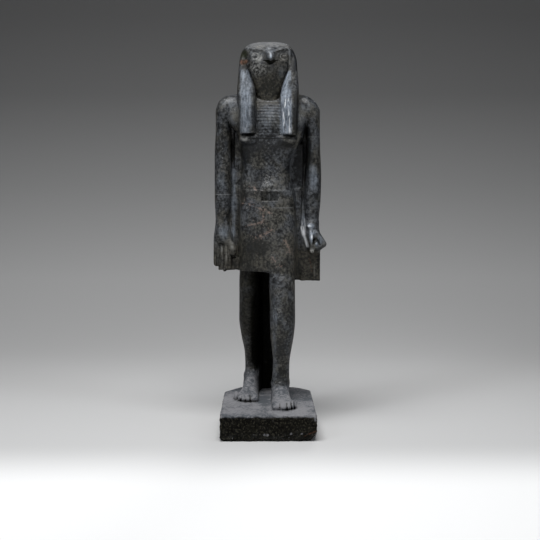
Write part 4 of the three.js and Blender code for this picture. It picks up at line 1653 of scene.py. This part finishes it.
def thinLines(p, colour, wander):
    # level lines at fixed heights: mended joins, a scratch, and painted shade along the chest's lower
    # groove
    for level, start, end, width, strength in lines:
        height = (level + plinthSize["height"]) * mm
        away = maths(p.tree, "ABSOLUTE", maths(p.tree, "SUBTRACT", p.up, height))
        away = p.plus(away, p.swing(wander, 6 * mm))
        thin = p.rise(away, width * mm, 0.4 * width * mm)
        along = p.between(p.across, start * mm, end * mm, 4 * mm)
        over = "line" if strength > 0 else "sootAndShade"
        colour = p.paint(colour, over, thin, along, p.zone("front"), abs(strength))
    return colour


def stoneMaterial():
    material = bpy.data.materials.new("darkGranodiorite")
    p = Pattern(material)
    grain = p.noise(stone["grain"], 2.5, 0.65)
    mottle = p.noise(stone["mottle"], 4.0, 0.6, shift=3.1)
    patch = p.noise(stone["patch"], 3.0, 0.55, shift=7.7)
    streak = p.noise(stone["streak"], 3.0, 0.65, stretch=(1.0, 1.0, 0.16), shift=11.3)
    sheenStreakNoise = p.noise(stone["sheenStreakNoise"], 2.0, 0.6, stretch=(1.0, 1.0, 0.10), shift=71.0)
    blotch = p.noise(stone["blotch"], 2.0, 0.6, shift=55.0)
    toneAndLight, speckle, polishAndSheen, coarse = (
        p.zone(name) for name in ("toneAndLight", "speckle", "polishAndSheen", "coarse")
    )
    level = p.plus(p.times(grain, 0.68), p.times(mottle, 0.32))
    level = p.plus(level, p.swing(patch, 0.30), p.times(toneAndLight, 0.14))
    shade, dim = p.rise(level, 0.39, 0.65), p.rise(grain, 0.20, 0.80)

    def shaded(dark, light):
        return p.mix(shade, p.mix(dim, stone["sootAndShade"], stone[dark]), stone[light])

    # the stone itself, cool and warm, with pale crystals and dark spots
    warm = p.rise(p.noise(stone["warmth"], 3.0, 0.6, shift=21.0), 0.42, 0.60)
    colour = p.mix(warm, shaded("coolDark", "coolLight"), shaded("warmDark", "warmLight"))
    pale = p.specks(stone["specks"], p.plus(0.09, p.times(speckle, 0.09)), 5.0)
    paleShare = p.rise(p.plus(mottle, p.times(toneAndLight, 0.10)), 0.38, 0.66)
    paleShare = p.plus(paleShare, p.times(speckle, 0.5))
    colour = p.paint(colour, "crystal", pale, paleShare, 0.75)
    colour = p.paint(colour, "crystal", speckle, p.rise(blotch, 0.49, 0.58), 0.55)
    colour = p.paint(colour, "sootAndShade", speckle, p.rise(blotch, 0.46, 0.38), 0.8)
    darkSpots = p.specks(stone["specks"] * 0.75, p.plus(0.15, p.times(speckle, 0.05)), 25.0)
    colour = p.paint(colour, "sootAndShade", darkSpots, p.plus(0.45, p.times(speckle, 0.35)))

    # brown and bright patches
    brown = p.breakUp(p.zone("brown"), mottle, 0.45)
    brown = p.times(brown, p.less(0.6, speckle))
    colour = p.paint(colour, shaded("brownDim", "brownLight"), brown)
    colour = p.paint(colour, "crystal", pale, brown, p.plus(0.22, p.times(speckle, 0.4)))
    colour = p.paint(colour, "sootAndShade", darkSpots, brown, 0.3)
    colour = p.paint(colour, "pale", p.rise(toneAndLight, 0.6, 2.4), p.rise(grain, 0.36, 0.60))

    # polish with its painted sheen, painted highlight streaks across it, and edges paler from wear
    # and as a painted highlight
    polishSheenLevel = p.plus(p.times(level, 0.35), p.times(streak, 0.65))
    polishSheenColour = p.mix(p.rise(polishSheenLevel, 0.34, 0.67), stone["polishSheenDark"], stone["polishSheenLight"])
    colour = p.paint(colour, polishSheenColour, p.rise(p.plus(polishAndSheen, p.swing(mottle, 0.6)), 0.0, 1.0))
    colour = p.paint(colour, "paintedShine", p.rise(sheenStreakNoise, 0.55, 0.66), p.zone("sheenStreaks"), polishAndSheen, 0.65)
    edge = p.rise(p.zone("ridge"), 0.30, 0.75)
    colour = p.paint(colour, "crystal", edge, p.rise(grain, 0.38, 0.60), 0.30)

    # veins with crystals beside them, thin lines, and painted shade in the grooves between the
    # collar's rows
    fromVein = p.zone("veinDistance")
    vein = p.rise(p.plus(fromVein, p.swing(mottle, 12.0)), 8.0, 1.5)
    colour = p.paint(colour, "vein", vein, p.rise(grain, 0.28, 0.50), 0.68)
    near = p.rise(p.plus(fromVein, p.swing(mottle, 22.0)), 30.0, 6.0)
    colour = p.paint(colour, "vein", near, p.specks(stone["specks"], 0.16, 35.0), 0.55)
    colour = thinLines(p, colour, mottle)
    row = p.times(maths(p.tree, "SUBTRACT", p.up, weather["Row Low"]), 1 / weather["Row Pitch"])
    groove = p.rise(maths(p.tree, "PINGPONG", row, 0.5), 0.26, 0.06)
    colour = p.paint(colour, "sootAndShade", groove, p.zone("collar"), 0.55)

    # soot and painted shade, paler on the plinth's coarse sides
    sootAndShade = p.breakUp(p.zone("sootAndShade"), mottle, 0.5, 0.7)
    sootAndShadeColour = p.mix(p.times(shade, 0.55), stone["sootAndShade"], stone["brownDark"])
    sootAndShadeColour = p.paint(sootAndShadeColour, "coarse", p.specks(stone["specks"] * 0.8, 0.19, 45.0), coarse)
    flakes = p.specks(stone["specks"] * 0.5, 0.08, 65.0)
    sootAndShadeColour = p.paint(sootAndShadeColour, "dustLight", flakes, coarse, speckle)
    colour = p.paint(colour, sootAndShadeColour, sootAndShade, 0.94)

    # rust, dust, chips and moss
    rust = p.rise(p.plus(p.zone("orangeDistance"), p.swing(mottle, 18.0)), 25.0, 12.0)
    rust = p.times(rust, p.rise(grain, 0.05, 0.30))
    orange = p.mix(p.rise(level, 0.2, 0.8), stone["brownDark"], stone["orange"])
    colour = p.paint(colour, orange, rust)
    film = p.mix(p.rise(level, 0.15, 0.75), stone["dustDark"], stone["film"])
    colour = p.paint(colour, film, p.zone("film"), 0.9)
    dust = p.breakUp(p.zone("dust"), mottle, 0.35, 1.3)
    dust = p.times(dust, p.rise(p.zone("hollowShade"), 0.95, 0.45))
    dustLevel = p.plus(level, p.times(patch, 0.4))
    dusty = p.mix(p.rise(dustLevel, 0.56, 0.83), stone["dustDark"], stone["dustLight"])
    colour = p.paint(colour, dusty, dust)
    chipped = p.breakUp(p.times(p.zone("chips"), 0.8), grain, 0.15, 1.8)
    colour = p.paint(colour, "dustLight", chipped, 0.8)
    colour = p.paint(colour, "moss", p.zone("moss"), p.rise(grain, 0.2, 0.6))

    # painted shade in the hollows, and the painted highlight along the bright edge over everything
    hollowShade = p.rise(p.zone("hollowShade"), 0.20, 0.90)
    hollowShade = p.times(hollowShade, p.less(0.6, dust))
    colour = p.paint(colour, "sootAndShade", hollowShade, 0.80)
    paintedShine = p.rise(p.plus(p.zone("paintedShineDistance"), p.swing(grain, 5.0)), 13.0, 2.5)
    colour = p.paint(colour, "paintedShine", paintedShine, p.rise(streak, 0.15, 0.50), 0.9)
    p.give("Base Color", colour)

    # its sheen, roughness and fine relief
    sheen = p.times(p.less(0.88, sootAndShade), p.less(0.8, hollowShade), p.less(0.85, rust))
    p.give("Specular IOR Level", p.times(sheen, stone["gloss"]))
    roughness = p.plus(p.swing(mottle, 0.5), 0.46, p.times(polishAndSheen, -0.12))
    roughness = p.plus(roughness, p.times(brown, 0.16), p.times(dust, 0.45))
    limits = {"Value": roughness, "Min": 0.22, "Max": 0.95}
    p.give("Roughness", node(p.tree, "ShaderNodeClamp", limits))
    bump = p.plus(p.times(grain, 0.6), p.times(mottle, 0.8), p.times(pale, 0.12))
    relief = {"Strength": 0.5, "Distance": stone["bump"], "Height": bump}
    p.give("Normal", node(p.tree, "ShaderNodeBump", relief))
    return material


finished(figure, stoneMaterial(), points, carving["triangles"])
markZones(figure.data)
print("finished with", sum(len(p.vertices) - 2 for p in figure.data.polygons), "triangles")
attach(figure, "root")
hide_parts("horus_figure")


# Stage: a pale floor that sweeps up behind and grades to grey, a painted falloff of light

sweep = {
    "width": 22.0, "front": -9.0, "back": 7.0, "curve": 5.0, "height": 9.0,
    "greys": (  # painted falloff of light: share of the way up, grey
        (0.0, 0.515), (0.12, 0.515), (0.38, 0.362), (0.70, 0.215), (1.0, 0.165),
    ),
    "top": 2.6,
    "near": (-0.35, -1.1, 0.84),  # painted light: the floor grows paler towards the camera: from, to, grey
    "roughness": 0.9,
}


def floorMaterial():
    material = bpy.data.materials.new("palePaper")
    p = Pattern(material)
    ramp = p.tree.nodes.new("ShaderNodeValToRGB")
    p.tree.links.new(maths(p.tree, "DIVIDE", p.up, sweep["top"]), ramp.inputs["Fac"])
    stops = ramp.color_ramp.elements
    for where, _ in sweep["greys"][1:-1]:
        stops.new(where)
    for stop, (where, grey) in zip(stops, sweep["greys"]):
        stop.position, stop.color = where, (grey, grey, grey, 1)
    start, end, pale = sweep["near"]
    nearness = p.rise(p.depth, start, end)
    p.give("Base Color", p.mix(nearness, ramp.outputs["Color"], (pale, pale, pale, 1)))
    p.shader.inputs["Roughness"].default_value = sweep["roughness"]
    return material


def makeStage():
    back, curve = sweep["back"], sweep["curve"]
    profile = [(sweep["front"], 0.0), (back - curve, 0.0)]
    for i in range(1, 25):
        angle = math.pi / 2 * i / 24
        profile.append((back - curve + curve * math.sin(angle), curve * (1 - math.cos(angle))))
    profile.append((back, sweep["height"]))
    half = sweep["width"] / 2
    points = [(x, y, z) for y, z in profile for x in (-half, half)]
    faces = [(2 * i, 2 * i + 1, 2 * i + 3, 2 * i + 2) for i in range(len(profile) - 1)]
    mesh = bpy.data.meshes.new("paleFloor")
    mesh.from_pydata(points, [], faces)
    mesh.shade_smooth()
    mesh.materials.append(floorMaterial())
    floor = bpy.data.objects.new("paleFloor", mesh)
    bpy.context.scene.collection.objects.link(floor)


camera = {
    "place": (-0.039, -5.3325, 1.164),
    "focal": 1203,  # in pixels of a frame 540 wide, and so are the next three
    "frame": 540,
    "down": 105,    # how far the view is lowered and turned aside
    "aside": 11,
    "sensor": 36,   # mm
}


def makeCamera():
    lens = bpy.data.cameras.new("camera")
    lens.sensor_width = camera["sensor"]
    lens.lens = camera["focal"] * camera["sensor"] / camera["frame"]
    holder = bpy.data.objects.new("camera", lens)
    holder.location = camera["place"]
    pitch = math.atan(camera["down"] / camera["focal"])
    turn = math.atan(camera["aside"] / camera["focal"])
    holder.rotation_euler = (math.pi / 2 - pitch, 0, -turn)
    bpy.context.scene.collection.objects.link(holder)
    bpy.context.scene.camera = holder


lamps = {  # place, aim, size, power, colour, spread in degrees
    "skyLight": ((-0.5, -1.3, 5.2), (0.0, 0.0, 0.8), (3.4, 2.6), 300, (1.0, 1.0, 1.0), 180),
    "leftLight": ((-3.4, -3.2, 3.2), (0.0, 0.0, 1.1), (1.0, 2.4), 45, (0.90, 0.95, 1.0), 180),
    "rightLight": ((3.6, -2.2, 3.0), (0.0, 0.0, 1.1), (1.0, 2.4), 30, (0.90, 0.95, 1.0), 180),
    "backLight": ((1.2, 5.0, 3.0), (0.0, 0.0, 1.0), (1.6, 2.0), 9, (1.0, 1.0, 1.0), 50),
}

surroundings = {"colour": (0.5, 0.5, 0.52, 1), "strength": 0.08}


def addLamp(name, place, aim, size, power, colour, spread):
    lamp = bpy.data.lights.new(name, "AREA")
    lamp.shape = "RECTANGLE"
    lamp.size, lamp.size_y = size
    lamp.energy = power
    lamp.color = colour
    lamp.spread = math.radians(spread)
    holder = bpy.data.objects.new(name, lamp)
    if spread < 180:  # the narrow one is a soft fill for the back, and isn't seen itself
        holder.visible_camera = holder.visible_glossy = False
    holder.location = place
    holder.rotation_euler = (Vector(aim) - Vector(place)).to_track_quat("-Z", "Y").to_euler()
    bpy.context.scene.collection.objects.link(holder)


makeStage()
makeCamera()
for name, given in lamps.items():
    addLamp(name, *given)
world = bpy.data.worlds.new("studio")
world.use_nodes = True
background = world.node_tree.nodes["Background"].inputs
background["Color"].default_value = surroundings["colour"]
background["Strength"].default_value = surroundings["strength"]
bpy.context.scene.world = world
print("staged with", len(lamps), "lamps")
bpy.context.scene.view_settings.view_transform = "Standard"
